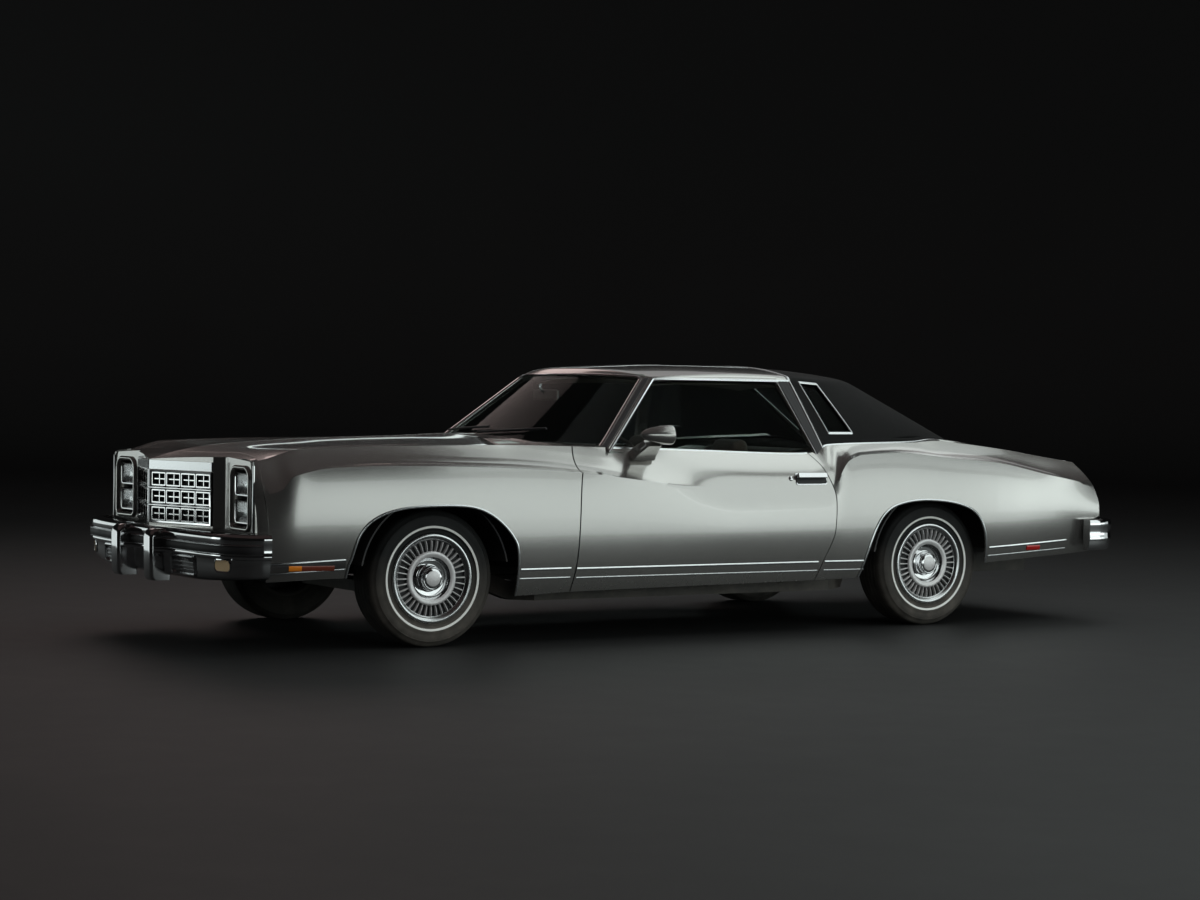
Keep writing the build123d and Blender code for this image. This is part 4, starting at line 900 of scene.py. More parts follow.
def tyreProfile():
    # half section from the bead over the sidewall, with its raised ribs, to the shoulder and the grooved tread
    side = [(192, 72), (196, 84), (206, 93), (212, 94), (214, 96.5), (219, 97), (221, 96), (234, 101), (236, 103),
            (256, 105.5), (258, 104.5), (268, 105.8), (284, 105), (292, 103), (293, 104.5), (297, 103), (298, 101),
            (309, 95.5), (317, 87), (320.5, 80)]
    tread = []
    for middle in tyreFit["grooves"][::-1]:
        a = tyreFit["grooveWidth"] / 2
        r = tyreFit["radius"] - (middle / 107) ** 2 * 1.6
        tread += [(r, middle + a + 0.6), (r - 0.8, middle + a), (r - tyreFit["grooveDepth"], middle + a - 1),
                  (r - tyreFit["grooveDepth"], middle - a + 1), (r - 0.8, middle - a), (r, middle - a - 0.6)]
    line = side + tread + [(r, -x) for r, x in side[::-1]]
    return np.array(line + [(188, -60), (186, 0), (188, 60)])


# sections of the cover as (radius, way out): the bright ring, and the brim, the dish and the hub inside the slots
ringSection = [(204, 70), (209, 84), (211, 96), (209.5, 101), (205, 104), (198, 104.5), (190, 101), (184, 95),
               (181, 91), (178.5, 90.5), (178.5, 70), (178, 58), (200, 60)]
brimSection = [(127.5, 90), (127, 94), (124, 97.5), (118, 98.5), (108, 97), (100, 93), (100, 84), (127, 84)]
hubSection = [(100, 93), (97, 88), (95, 78), (90, 68), (80, 62), (66, 61), (60, 64), (57, 72), (56, 92), (55, 104),
              (52.5, 107), (50, 108), (49, 106.5), (47, 106), (44, 107.5), (30, 110), (14, 111.5), (0.01, 112),
              (0.01, 52), (100, 66)]


def makeFins():
    # radial fins over the cover's dark band, each crowned across and along: 91 + 3.5 sin(pi s) out from the wheel
    count = coverFit["slots"]
    r = np.linspace(coverFit["slotInner"] - 3, coverFit["slotOuter"] + 4, 7)
    height = 91.0 + 3.5 * np.sin(np.linspace(0, math.pi, 7))
    half = math.pi / count * coverFit["finShare"] * (r[0] / r) ** 0.4
    across = np.array([-1.0, -0.8, 0.0, 0.8, 1.0])
    drop = np.array([-16.0, -1.0, 0.6, -1.0, -16.0])
    turn = np.arange(count) * 2 * math.pi / count
    a = turn[:, None, None] + half[None, :, None] * across
    x = np.broadcast_to(height[None, :, None] + drop, a.shape)
    grid = np.stack([x, r[None, :, None] * np.sin(a), r[None, :, None] * np.cos(a)], axis=-1)
    return joined(*[(fin.reshape(-1, 3), gridFaces(7, 5)) for fin in grid])


def spun(section, segments):
    # section of (radius, way out) pairs turned about the wheel's axle
    return revolve(section, segments, (0, 0, 0))


def turned(shape, place):
    # a wheel's part, made about the origin, at its corner of the car
    x, y, side = place
    vertices, faces = shape
    moved = np.asarray(vertices) * [side, 1, 1] + [x, y, axleHeight]
    return moved, ([np.asarray(f)[::-1] for f in faces] if side < 0 else faces)


whiteSection = [(tyreFit["ringRadius"] + across, out) for across, out in
                ((-5.5, 101.0), (-5, 104.4), (0, 105.6), (5, 106.0), (5.5, 103.0))]
rimSection = [(189, -84), (200, -88), (203, -82), (199, -78), (186, -74), (176, -50), (170, 0), (172, 40), (184, 66),
              (199, 72), (199, 66), (188, 58), (186, 0), (187, -60)]
discSection = [(0.01, 113.2), (30, 112.2), (36, 110.6), (37, 108), (0.01, 108)]
bandSection = [(126, 76), (180, 76), (180, 72), (126, 72)]
wheelParts = [  # name, shape about the origin, finish, slot, node that it replaces, crease angle, merged or not
    ("tyre_skin", spun(tyreProfile(), 144), tyreRubber, "tyre_rubber", "tyre", 50, False),
    ("whitewall", spun(whiteSection, 120), whiteRubber, None, None, 60, False),
    ("rim", spun(rimSection, 96), darkMetal, "wheel_bright", "wheel", 45, False),
    ("cover_ring", spun(ringSection, 120), brightAluminium, "wheel_bright", None, 45, False),
    ("cover_brim", spun(brimSection, 96), coverSilver, "wheel_bright", None, 40, False),
    ("cover_hub", spun(hubSection, 96), chrome, "wheel_bright", None, 40, True),
    ("cover_disc", spun(discSection, 60), coverSilver, "wheel_bright", None, 40, True),
    ("cover_band", spun(bandSection, 72), grilleBlack, None, None, 45, False),
    ("cover_fins", makeFins(), coverSilver, "wheel_bright", None, 50, False),
]
for where, place in wheelPlaces.items():
    axle, hand = where.split("_")
    for name, shape, material, slotName, node, sharp, merge in wheelParts:
        addPiece(f"{name}_{where}", turned(shape, place), material, f"{axle}_wheel_{hand}", slotName,
                 f"{node}_{where}" if node else (), sharp, merge=merge)
print("wheels made")


# Bright trim that follows the body

trimFit = {"arch": 11.0, "sill": 13.0, "sillLower": 9.0, "sillApart": 44.0, "belt": 12.0, "surround": 14.0,
           "band": 22.0, "marker": 26.0}  # widths, and how far the sill's lower line is below the upper one


def skinPath(line):
    # points and normals of the left side's skin along (y, z) points
    t = skinAtZ(line[:, 0], line[:, 1])
    return bodyPoint(line[:, 0], t), skinNormal(line[:, 0], t)


def sideTrim(name, y, z, profile, material, body="body", slotName="bright_trim"):
    # strip on the body's side along y and z
    path, normals = skinPath(evenly(np.stack([y, z], axis=1), len(y)))
    bothSides(name, strip(path, normals, profile), material, body, slotName=slotName)


def roofTrim(name, plan, profile, material, count=80, slotName="bright_trim", lift=0.0):
    # strip on each side of the greenhouse along plan points
    points, normals = roofPoint(evenly(plan, count), lift)
    bothSides(name, strip(points, normals, profile), material, slotName=slotName)


def overTrim(name, plan, profile):
    # bright strip right over the car along plan points
    points, normals = roofPoint(evenly(plan, 120))
    addPiece(name, strip(points, normals, profile), brightAluminium, slotName="bright_trim")


for name, axle in (("front", frontAxle), ("rear", rearAxle)):
    path, normals = skinPath(archLine(name, axle, 160))
    path = path + unit(path - np.array([0, axle, axleHeight - 60])) * 3.0
    bothSides(f"arch_lip_{name}", strip(path, normals, gabled(trimFit["arch"], 20)), brightAluminium,
              slotName="bright_trim")

mouldings = [  # name, front y, rear y, height of the upper line at both ends, body
    ("front_moulding", -2392, -2040, 405, 423, "body"), ("fender_moulding", -1128, -852, 357, 357, "body"),
    ("door_moulding", -818, 612, 354, 352, "door"), ("quarter_moulding", 652, 905, 353, 351, "body"),
    ("rear_moulding", 1738, 2320, 401, 427, "body"),
]
for name, front, rear, zFront, zRear, body in mouldings:
    y, z = np.linspace(front, rear, 40), np.linspace(zFront, zRear, 40)
    sideTrim(f"{name}_upper", y, z, gabled(trimFit["sill"], 20), brightAluminium, body)
    sideTrim(f"{name}_lower", y, z - trimFit["sillApart"], gabled(trimFit["sillLower"], 20), brightAluminium, body)
    if name == "front_moulding":
        sideTrim(f"{name}_insert", y, z - 23, crowned(32.0, 2.0), blackRubber, body, "black_paint")

# side markers: the amber lens, its rear part in a darker copy of it as painted shade, and the red rear marker
for name, front, rear, height, material, slotName in (
        ("amber_marker", -2305, -2246, 388.0, amberLens, "amber_lens"),
        ("amber_marker_painted_shade", -2245, -2092, 388.0, markerPaintedShade, "red_lens"),
        ("red_marker", 2012, 2112, 394.0, redLens, "red_lens")):
    sideTrim(name, np.linspace(front, rear, 12), np.full(12, height), crowned(trimFit["marker"], 4.5), material,
             slotName=slotName)

# glass surrounds, drip rails and the landau's bright edges
surround, band = gabled(trimFit["surround"], 26), trimFit["band"]
roofTrim("shield_side_trim", shieldSide, surround, chrome)
overTrim("shield_top_trim", shieldOver, surround)
roofTrim("back_side_trim", backSide, surround, chrome)
overTrim("back_top_trim", backOver, surround)
roofTrim("drip_rail", dripPath, surround, brightAluminium, count=160, lift=1.0)
roofTrim("door_pillar_trim", doorRear, gabled(10.0, 26), chrome)
roofTrim("landau_band", split, gabled(band, 24), chrome)
overTrim("landau_roof_band", splitOver, gabled(band, 18))
operaLoop = np.vstack([operaFront, operaTop[1:], operaRear[::-1][1:], operaFoot[::-1][1:-1]])
points, normals = roofPoint(evenly(np.vstack([operaLoop, operaLoop[:1]]), 140)[:-1])
bothSides("opera_frame", strip(points, normals, gabled(13.0, 26), closed=True), brightAluminium,
          slotName="bright_trim")


def landauFoot():
    # where the covered side meets the quarter's top, just above the body's skin
    y = np.linspace(706, 1560, 70)
    x = np.full_like(y, 800.0)
    for _ in range(8):
        z = bodyPoint(y, skinAtX(y, x))[..., 2]
        x = sideX(y, z)
    return np.stack([x, y], axis=1)


foot = landauFoot()
points, normals = roofPoint(evenly(foot, 90))
bothSides("landau_foot_trim", strip(points + normals * 1.0, normals, gabled(12.0, 26)), brightAluminium,
          slotName="bright_trim")

# belt moulding on the door, black covers on its pillars and the vinyl's lower edge
y = np.linspace(-600, 600, 90)
belt = bodyPoint(y, skinAtX(y, np.clip(sideX(y, along(y, bodyLines["shoulderZ"])) + 8, 806, 1000)))
normals = np.broadcast_to([0.995, 0.0, 0.1], belt.shape)
bothSides("belt_moulding", strip(belt, normals, gabled(trimFit["belt"], 6)), brightAluminium, "door",
          slotName="bright_trim")
for name, front, rear, wide, share in (
        ("pillar_infill", shieldSide, doorFront, 26.0, 0.5), ("pillar_cover_26", doorRear, split, 24.0, 0.26),
        ("pillar_cover_50", doorRear, split, 24.0, 0.5), ("pillar_cover_74", doorRear, split, 24.0, 0.74)):
    a, b = evenly(front, 70), evenly(rear, 70)
    roofTrim(name, a * (1 - share) + b * share, crowned(wide, 2.5), blackRubber, slotName="black_paint", lift=0.5)
roofTrim("landau_fillet", foot, crowned(52.0, 1.2), vinylTop, slotName="vinyl", lift=0.3)
print("bright trim made")


# Nose, grille, lamps and bumpers

nosePlan = [(0, -2612), (452, -2484), (520, -2447), (842, -2455), (960, -2428)]
noseFit = {"foot": 528.0, "wall": 5.0, "grille": (560.0, 808.0), "headerTop": 854.0,
           "lamp": (578.0, 806.0, 551.0, 847.0), "lampCorner": (62.0, 34.0), "bezelWidth": 21.0}


def noseY(x):
    # y of the upright nose plane, straight between its plan's corners
    return np.interp(x, *zip(*nosePlan))


def noseEdge(count):
    # where the body's skin meets the nose plane, from the foot over the shoulder to the hood's edge
    y = np.full(count, -2440.0)
    for _ in range(10):
        low = skinAtZ(y[:1], np.array([noseFit["foot"]]))[0]
        high = skinAtX(y[-1:], np.array([hoodEdge]))[0]
        t = np.linspace(low, high, count)
        y = noseY(bodyPoint(y, t)[..., 0])
    return bodyPoint(y, t), t


cornerEdge, cornerT = noseEdge(70)
share = np.linspace(0, 1, 6)
cornerRear = seam(seams["fenderFront"], cornerT, -shutGap / 2)[:, 0]
cornerY = cornerEdge[:, 1][:, None] * (1 - share) + cornerRear[:, None] * share
cornerSkin = bodyPoint(cornerY, cornerT[:, None]).transpose(1, 0, 2)
topX = np.linspace(hoodEdge, 0, 60)
topFront = noseY(topX)
topRear = np.interp(topX, *zip(*hoodFront)) - shutGap
topY = topFront[:, None] * (1 - share) + topRear[:, None] * share
topSkin = bodyPoint(topY, skinAtX(topY, np.broadcast_to(topX[:, None], topY.shape))).transpose(1, 0, 2)
upper = cornerEdge[cornerT > 1.9]
edgeX = np.concatenate([upper[:, 0], topX[1:]])[::-1]
edgeZ = np.concatenate([upper[:, 2], topSkin[0, 1:, 2]])[::-1]


def face(low, high, floor, ceiling):
    # panel of the nose plane between two distances from the middle and two heights, or up to the nose's edge
    x = np.unique(np.concatenate([np.linspace(low, high, 12), [p[0] for p in nosePlan if low < p[0] < high]]))
    top = np.interp(x, edgeX, edgeZ) if ceiling is None else np.full_like(x, ceiling)
    z = floor + np.linspace(0, 1, 4)[None] * (top - floor)[:, None]
    return panel(onFace(np.broadcast_to(x[:, None], z.shape), z, 0.0), noseFit["wall"])


def roundRect(left, right, low, high, topRadius, lowRadius, count=8):
    # closed outline of (across, height), each corner in the same number of points
    corners = [(right, high, -1, -1, topRadius), (left, high, 1, -1, topRadius), (left, low, 1, 1, lowRadius),
               (right, low, -1, 1, lowRadius)]
    points = []
    for quarter, (x, z, inX, inZ, r) in enumerate(corners):
        a = (quarter + np.linspace(0, 1, count)) * math.pi / 2
        points.append(np.stack([x + inX * r + r * np.cos(a), z + inZ * r + r * np.sin(a)], axis=1))
    return np.vstack(points)


def ring(outer, inner, place, profile):
    # frame between two outlines, its section given as (share from outer to inner, out)
    loops = [place(*(outer * (1 - s) + inner * s).T, out) for s, out in profile]
    grid = np.stack(loops, axis=1)
    return grid.reshape(-1, 3), gridFaces(len(outer), len(profile), wrapRows=True, wrapColumns=True)


def plate(outline, place, high, low):
    # closed plate with the outline's shape between two heights above the surface
    n = len(outline)
    points = np.vstack([place(*outline.T, high), place(*outline.T, low)])
    index = np.arange(n)
    sides = np.stack([index, index + n, np.roll(index, -1) + n, np.roll(index, -1)], axis=1)
    return points, [index, *sides, index[::-1] + n]


def onFace(x, z, out):
    # point out from the nose plane
    return np.stack([x, noseY(x) - out, z], axis=-1)


veeAlong, veeOut = np.array([452, 128]) / 469.8, np.array([128, -452]) / 469.8


def onVee(s, z, out):
    # point of the grille's plane: along it from the middle, its height, and out from it
    xy = nosePlan[0] + np.asarray(s)[..., None] * veeAlong + np.broadcast_to(out, np.shape(s))[..., None] * veeOut
    return np.concatenate([xy, np.asarray(z, float)[..., None]], axis=-1)


left, right, low, high = noseFit["lamp"]
grilleLow, grilleHigh = noseFit["grille"]
lampHole = roundRect(left, right, low, high, *noseFit["lampCorner"])
lampRect = roundRect(left, right, low, high, 0.0, 0.0)
side = cornerEdge[cornerEdge[:, 2] < np.interp(right, edgeX, edgeZ)]
cheekZ = np.clip(side[:, 2], noseFit["foot"], None)
cheek = np.stack([onFace(np.full_like(cheekZ, x), cheekZ, 0.0) for x in (right, nosePlan[3][0])] + [side])
foot, bend = noseFit["foot"], nosePlan[1][0]
noseFaces = [(0, bend, foot, grilleLow), (0, bend, grilleHigh, None), (bend, left, foot, None),
             (left, right, foot, low), (left, right, high, None)]
noseParts = [panel(cornerSkin[::-1], 8.0), panel(topSkin, 8.0), panel(cheek, noseFit["wall"]),
             *[face(*values) for values in noseFaces],
             ring(lampRect, lampHole, onFace, [(0, 0), (1, 0), (1, -5), (0, -5)])]
bothSides("nose_skin", joined(*noseParts), silverPaint, slotName="silver_paint", merge=True)
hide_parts("header_panel")

strips = np.array([[842, -2456, z] for z in np.linspace(noseFit["foot"], np.interp(842, edgeX, edgeZ) - 2, 12)])
bothSides("nose_edge_trim", strip(strips, np.broadcast_to([0.1, -1.0, 0.0], strips.shape), crowned(11, 5)), chrome,
          slotName="bright_trim")

# grille: a bright surround, three rows of four framed blocks and the bands between them
grilleFit = {"rim": 8.0, "rows": 3, "columns": 4, "band": 13.0, "frame": 9.0, "bar": 5.0}
rim = grilleFit["rim"]
inside = (10.0 + rim, 462.0 - rim, grilleLow + rim, grilleHigh - rim)
grilleParts = [ring(roundRect(8, 464, grilleLow - 2, grilleHigh + 2, 0, 0), roundRect(*inside, 0, 0), onVee,
                    [(0, -2), (0, 5), (0.3, 7), (1, 6), (1, -34), (0.9, -34)])]
rowHeight = (inside[3] - inside[2] - grilleFit["band"] * (grilleFit["rows"] - 1)) / grilleFit["rows"]
columnWidth = (inside[1] - inside[0]) / grilleFit["columns"]
for row in range(grilleFit["rows"]):
    base = inside[2] + row * (rowHeight + grilleFit["band"])
    if row:
        middle = base - grilleFit["band"] / 2
        section = np.array([[6.5, -24], [6.5, 3], [1.5, 11], [-1.5, 11], [-6.5, 3], [-6.5, -24]])
        path = onVee(np.array([4.0, 466.0]), np.full(2, middle), 0.0)
        grilleParts.append(sweep(path, section, np.broadcast_to([0.0, 0.0, 1.0], (2, 3)),
                                 np.broadcast_to([*veeOut, 0.0], (2, 3))))
    for column in range(grilleFit["columns"]):
        start = inside[0] + column * columnWidth + 1.5
        box = (start, start + columnWidth - 3, base + 1, base + rowHeight - 1)
        f = grilleFit["frame"]
        inner = (box[0] + f, box[1] - f, box[2] + f, box[3] - f)
        grilleParts.append(ring(roundRect(*box, 3, 3, 4), roundRect(*inner, 3, 3, 4), onVee,
                                [(0, -20), (0, 1), (0.2, 3), (0.8, 3), (1, 1), (1, -20)]))
        half = grilleFit["bar"] / 2
        x, z = (box[0] + box[1]) / 2, (box[2] + box[3]) / 2
        grilleParts.append(plate(roundRect(x - half, x + half, inner[2], inner[3], 0.5, 0.5, 2), onVee, -2, -18))
        grilleParts.append(plate(roundRect(inner[0], inner[1], z - half, z + half, 0.5, 0.5, 2), onVee, -3, -18))
bothSides("grille_blocks", joined(*grilleParts), chrome, slotName="bright_trim", merge=True)
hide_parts("grille")
bothSides("grille_back", plate(roundRect(8, 464, grilleLow, grilleHigh, 0.5, 0.5, 2), onVee, -34, -37), grilleBlack)
header = plate(roundRect(4, 466, grilleHigh + 3, noseFit["headerTop"], 1, 1, 3), onVee, 6, -2)
bothSides("header_bar", header, brightAluminium, slotName="bright_trim", bevel=1.6)

# lamps: an arched bezel round two rectangular lamps, each a bowl as deep as 30 * max(|u|, |v|) to the power 2.4
# under a lens that bulges as 4 (1 - u squared)(1 - v squared) and is fluted as 0.9 cos(15 pi u)
w = noseFit["bezelWidth"]
bezelInner = roundRect(left + w, right - w, low + w, high - w, noseFit["lampCorner"][0] - w, 14)
bezel = ring(lampHole, bezelInner, onFace,
             [(-0.12, -3), (-0.12, 6), (0.05, 11), (0.45, 12), (0.8, 8), (1, 2), (1, -56)])
bothSides("lamp_bezel", bezel, silverPaint, slotName="silver_paint", sharp=50)
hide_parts("lamp_bezels")
bothSides("lamp_pocket", plate(bezelInner, onFace, -54, -58), grilleBlack)
lampParts, bowlParts, lensParts = [], [], []
for middle in (636.0, 762.0):
    box = (left + w + 7, right - w - 7, middle - 54, middle + 54)
    lampParts.append(ring(roundRect(*box, 20, 20), roundRect(box[0] + 9, box[1] - 9, box[2] + 9, box[3] - 9, 14, 14),
                          onFace, [(0, -50), (0, -10), (0.3, -6), (0.8, -7), (1, -12), (1, -24)]))
    u, v = np.meshgrid(np.linspace(-1, 1, 61), np.linspace(-1, 1, 25), indexing="ij")
    x = (box[0] + box[1]) / 2 + u * (box[1] - box[0] - 14) / 2
    z = middle + v * 47
    bowl = -48 + 30 * np.maximum(np.abs(u), np.abs(v)) ** 2.4
    bowlParts.append(panel(onFace(x, z, bowl), 2.0))
    lens = -13 + 4 * (1 - u ** 2) * (1 - v ** 2) + 0.9 * np.cos(u * 15 * math.pi) * (np.abs(v) < 0.93)
    lensParts.append(panel(onFace(x, z, lens), 3.0))
bothSides("lamp_ring", joined(*lampParts), chrome, slotName="bright_trim", sharp=50)
bothSides("lamp_bowl", joined(*bowlParts), reflector, sharp=60)
bothSides("lamp_lens", joined(*lensParts), lampGlass, slotName="lamp_glass", sharp=80)
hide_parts("headlamps")

# bumpers: a section carried round the plan, then its rubbing strip between two bright lines
bumperPlan = [(0, -2642), (470, -2634), (770, -2600), (905, -2532), (946, -2462), (952, -2412)]
rearPlan = [(0, 2706), (500, 2703), (770, 2688), (866, 2658), (912, 2604), (932, 2536), (937, 2448)]
barSection = [(-60, 545), (-16, 544), (-6, 540), (-1, 532), (0, 524), (0, 502), (-2, 498), (-2, 453), (0, 449),
              (0, 440), (-3, 434), (-14, 430), (-17, 424), (-18, 400), (-20, 370), (-26, 345), (-36, 330), (-50, 322),
              (-60, 322), (-62, 420)]
rearSection = [(-50, 538), (-14, 539), (-4, 535), (0, 527), (1, 500), (-1, 494), (-1, 446), (1, 440), (0, 425),
               (-5, 420), (-6, 400), (-10, 374), (-20, 360), (-34, 354), (-50, 354), (-54, 440)]


def barPath(plan, count=150):
    # points round the whole bumper from the right end to the left, with outward directions
    half = smoothPath(plan, 300)
    line = evenly(np.vstack([half[::-1][:-1] * [-1, 1], half]), count)
    ahead = unit(np.gradient(line, axis=0))
    out = np.stack([ahead[:, 1], -ahead[:, 0]], axis=1) * np.sign(-plan[0][1])
    return line, out


def barSweep(plan, section, ends=0, rise=20.0):
    # section of (out, height) pairs carried round a bumper, its lower edge rising towards both ends
    line, out = barPath(plan)
    if ends:
        line, out = line[ends:-ends], out[ends:-ends]
    section = np.asarray(section, float)
    outer = np.clip((np.abs(line[:, 0]) - 500) / 450, 0, 1) ** 1.3
    z = section[None, :, 1] + outer[:, None] * rise * np.clip((430 - section[None, :, 1]) / 110, 0, 1)
    xy = line[:, None] + section[None, :, :1] * out[:, None]
    return tube(np.concatenate([xy, z[..., None]], axis=-1), flip=plan[0][1] < 0)


addPiece("front_bar", barSweep(bumperPlan, barSection), chrome, "body", "bright_trim", "front_bumper", sharp=40)
addPiece("rear_bar", barSweep(rearPlan, rearSection, rise=26), chrome, "body", "bright_trim", "rear_bumper", sharp=40)
rub = [(-4, 495), (2, 494.5), (5, 489), (6, 475), (5, 461), (2, 455.5), (-4, 455)]
for name, plan, ends in (("front", bumperPlan, 3), ("rear", rearPlan, 22)):
    addPiece(f"{name}_rub_strip", barSweep(plan, rub, ends), blackRubber, "body", "black_paint", sharp=50)
    for z, where in ((494, "upper"), (456, "lower")):
        line = [(-3, z + 3), (5, z + 3), (7.5, z + 1.5), (7.5, z - 1.5), (5, z - 3), (-3, z - 3)]
        addPiece(f"{name}_rub_line_{where}", barSweep(plan, line, ends), brightAluminium, "body", "bright_trim",
                 sharp=30)

guardOutlines = []
for z, y, wide in ((300, -2690, 47), (318, -2704, 47), (400, -2707, 45), (500, -2708, 45), (528, -2700, 43),
                   (541, -2684, 38)):
    outline = roundRect(203 - wide, 203 + wide, y, -2604, 8, 16, 6)
    guardOutlines.append(np.column_stack([outline, np.full(len(outline), float(z))]))
bothSides("bumper_guard", tube(np.stack(guardOutlines), flip=True), chrome, slotName="bright_trim", sharp=50)


def onBar(x, z, out):
    # point of the front bumper's lower tier
    line, outward = barPath(bumperPlan, 400)
    order = np.argsort(line[:, 0])
    at = lambda values: np.interp(x, line[order, 0], values[order])
    lean = np.interp(z, [322, 330, 345, 370, 400, 424, 430], [50, 36, 26, 20, 18, 17, 14])
    away = out - lean
    return np.stack([x + at(outward[:, 0]) * away, at(line[:, 1]) + at(outward[:, 1]) * away,
                     np.broadcast_to(z, np.shape(x))], axis=-1)


slotOuter, slotInner = roundRect(300, 556, 334, 428, 20, 26), roundRect(312, 544, 345, 417, 10, 15)
bothSides("slot_back", plate(slotOuter, onBar, 1.0, -6), grilleBlack)
slotParts = [ring(slotOuter, slotInner, onBar, [(-0.1, -4), (-0.1, 6), (0.4, 10), (0.8, 8), (1, 3), (1, -4)])]
for z in (363, 381, 399):
    slotParts.append(plate(roundRect(310, 546, z - 3, z + 3, 1, 1, 3), onBar, 3.5, -3))
for x in (370, 428, 486):
    slotParts.append(plate(roundRect(x - 2.5, x + 2.5, 347, 415, 1, 1, 3), onBar, 2.5, -3))
bothSides("slot_grille", joined(*slotParts), brightAluminium, slotName="bright_trim", sharp=40)
parkOuter, parkInner = roundRect(728, 842, 368, 430, 24, 24), roundRect(736, 834, 376, 423, 18, 18)
bothSides("park_frame", ring(parkOuter, parkInner, onBar, [(0, -6), (0, 3), (0.5, 5), (1, 2), (1, -8)]), chrome,
          slotName="bright_trim", sharp=50)
# the park lens's pale, bright colour is partly real amber and partly painted light
bothSides("park_lens", plate(parkInner, onBar, 4, -6), parkLensPaintedLight, slotName="amber_lens", bevel=2.0)
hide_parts("park_lamps")
print("nose and bumpers made")


# Mirror, handles and wipers

def onDoor(y, z, out):
    # point of the left side's skin
    t = skinAtZ(y, z)
    return bodyPoint(y, t) + skinNormal(y, t) * np.broadcast_to(out, np.shape(y))[..., None]


mirrorFit = {"centre": (984.0, -488.0, 997.0), "length": 178.0, "width": 42.0, "height": 48.0}


def mirrorPart(section):
    # a section of (radius, y) turned about y, made as wide and high as the housing and leaning out towards its rim
    vertices, faces = revolve(section, 40, (0, 0, 0), (0, 1, 0))
    vertices = vertices * [mirrorFit["width"], 1, mirrorFit["height"]]
    vertices[:, 0] += vertices[:, 1] * 0.06
    return vertices + mirrorFit["centre"], faces


# housing: from a blunt tip the radius grows as (1 - (1 - s) squared) to the power 0.62, up to a rolled rim
s, end = np.linspace(0, 1, 26), mirrorFit["length"]
radius = (1 - (1 - s) ** 2) ** 0.62
radius[0] = 0.001
rolledRim = [[0.95, end - 3], [0.86, end], [0.80, end - 2], [0.88, end - 10], [0.001, end - 12]]
housing = mirrorPart(np.vstack([np.stack([radius, s * (end - 8)], axis=1), rolledRim]))
mirrorGlass = mirrorPart([[0.001, end - 8], [0.86, end - 8], [0.86, end - 11], [0.001, end - 11]])
footOutlines = []
for share in np.linspace(0, 1, 6):
    x, z = 880 + 92 * share, 890 + 66 * share ** 0.8
    wide, thick = 66 - 22 * share, 34 - 10 * share
    across, back = roundRect(-thick, thick, -wide, wide, 12, 12, 5).T
    footOutlines.append(np.column_stack([x + across * 0.8, -412 + 4 * share + back, z - across * 0.6]))
footShape = tube(np.stack(footOutlines), flip=True)
addPiece("mirror_housing", housing, silverPaint, "door_left", "silver_paint", merge=True)
addPiece("mirror_glass", mirrorGlass, reflector, "door_left", merge=True)
addPiece("mirror_foot", footShape, silverPaint, "door_left", "silver_paint", sharp=50)

recess, recessInner = roundRect(472, 662, 744, 802, 12, 12), roundRect(478, 656, 750, 796, 9, 9)
bothSides("handle_frame", ring(recess, recessInner, onDoor, [(0, -2), (0, 3), (0.5, 4), (1, 2), (1, -2)]), chrome,
          "door", slotName="bright_trim", sharp=50)
bothSides("handle_recess", plate(recessInner, onDoor, 1.0, -2), grilleBlack, "door")
bothSides("handle_grip", plate(roundRect(476, 658, 774, 797, 8, 8), onDoor, 26, 14), chrome, "door",
          slotName="bright_trim", bevel=4.0, segments=4)
handlePosts = joined(*[plate(roundRect(a, a + 24, 777, 794, 6, 6, 4), onDoor, 20, -2) for a in (480, 630)])
bothSides("handle_posts", handlePosts, chrome, "door", slotName="bright_trim")
y, z = np.array(444.0), np.array(776.0)
bothSides("door_lock", revolve([(0.01, 7), (8, 7), (11, 5), (13, -3), (0.01, -3)], 28, onDoor(y, z, 0.0),
                               skinNormal(y, skinAtZ(y, z)), closed=False), chrome, "door", slotName="bright_trim",
          merge=True)

for name, foot, tip in (("left", (-120, -640), (430, -300)), ("right", (-640, -560), (-60, -330))):
    share = np.linspace(0, 1, 30)[:, None]
    plan = np.array(foot) * (1 - share) + np.array(tip) * share
    z = 985 + 30 * share[:, 0]
    y = windshieldY(plan[:, 0], z) - 9
    path = np.column_stack([plan[:, 0], y, z])
    normals = np.broadcast_to([0.0, -0.62, 0.78], path.shape)
    addPiece(f"wiper_{name}", strip(path, normals, crowned(9, 7, foot=-4)), blackRubber, slotName="black_paint")
print("mirror, handles and wipers made")


# Cabin: seats, dash, wheel, door trims, lining and carpet

cabinFit = {"cushionCrown": 16.0, "seamDepth": 9.0, "seamWidth": 11.0, "liningDrop": 62.0}


def roundedBox(half, radius, n):
    # box surface pushed out from its inner core by the corner radius
    a = np.linspace(-1, 1, n)
    u, v = np.meshgrid(a, a, indexing="ij")
    parts = []
    for axis in range(3):
        for sign in (-1, 1):
            cube = np.empty(u.shape + (3,))
            cube[..., axis] = sign
            cube[..., (axis + 1) % 3] = u
            cube[..., (axis + 2) % 3] = v
            parts.append((cube.reshape(-1, 3), gridFaces(n, n)))
    points, faces = joined(*parts)
    scaled = points * half
    core = np.clip(scaled, -(half - radius), half - radius)
    return points, core + radius * unit(scaled - core), faces


def block(half, radius, n, centre):
    # a rounded box at its place
    points, faces = roundedBox(np.array(half, float), radius, n)[1:]
    return points + centre, faces


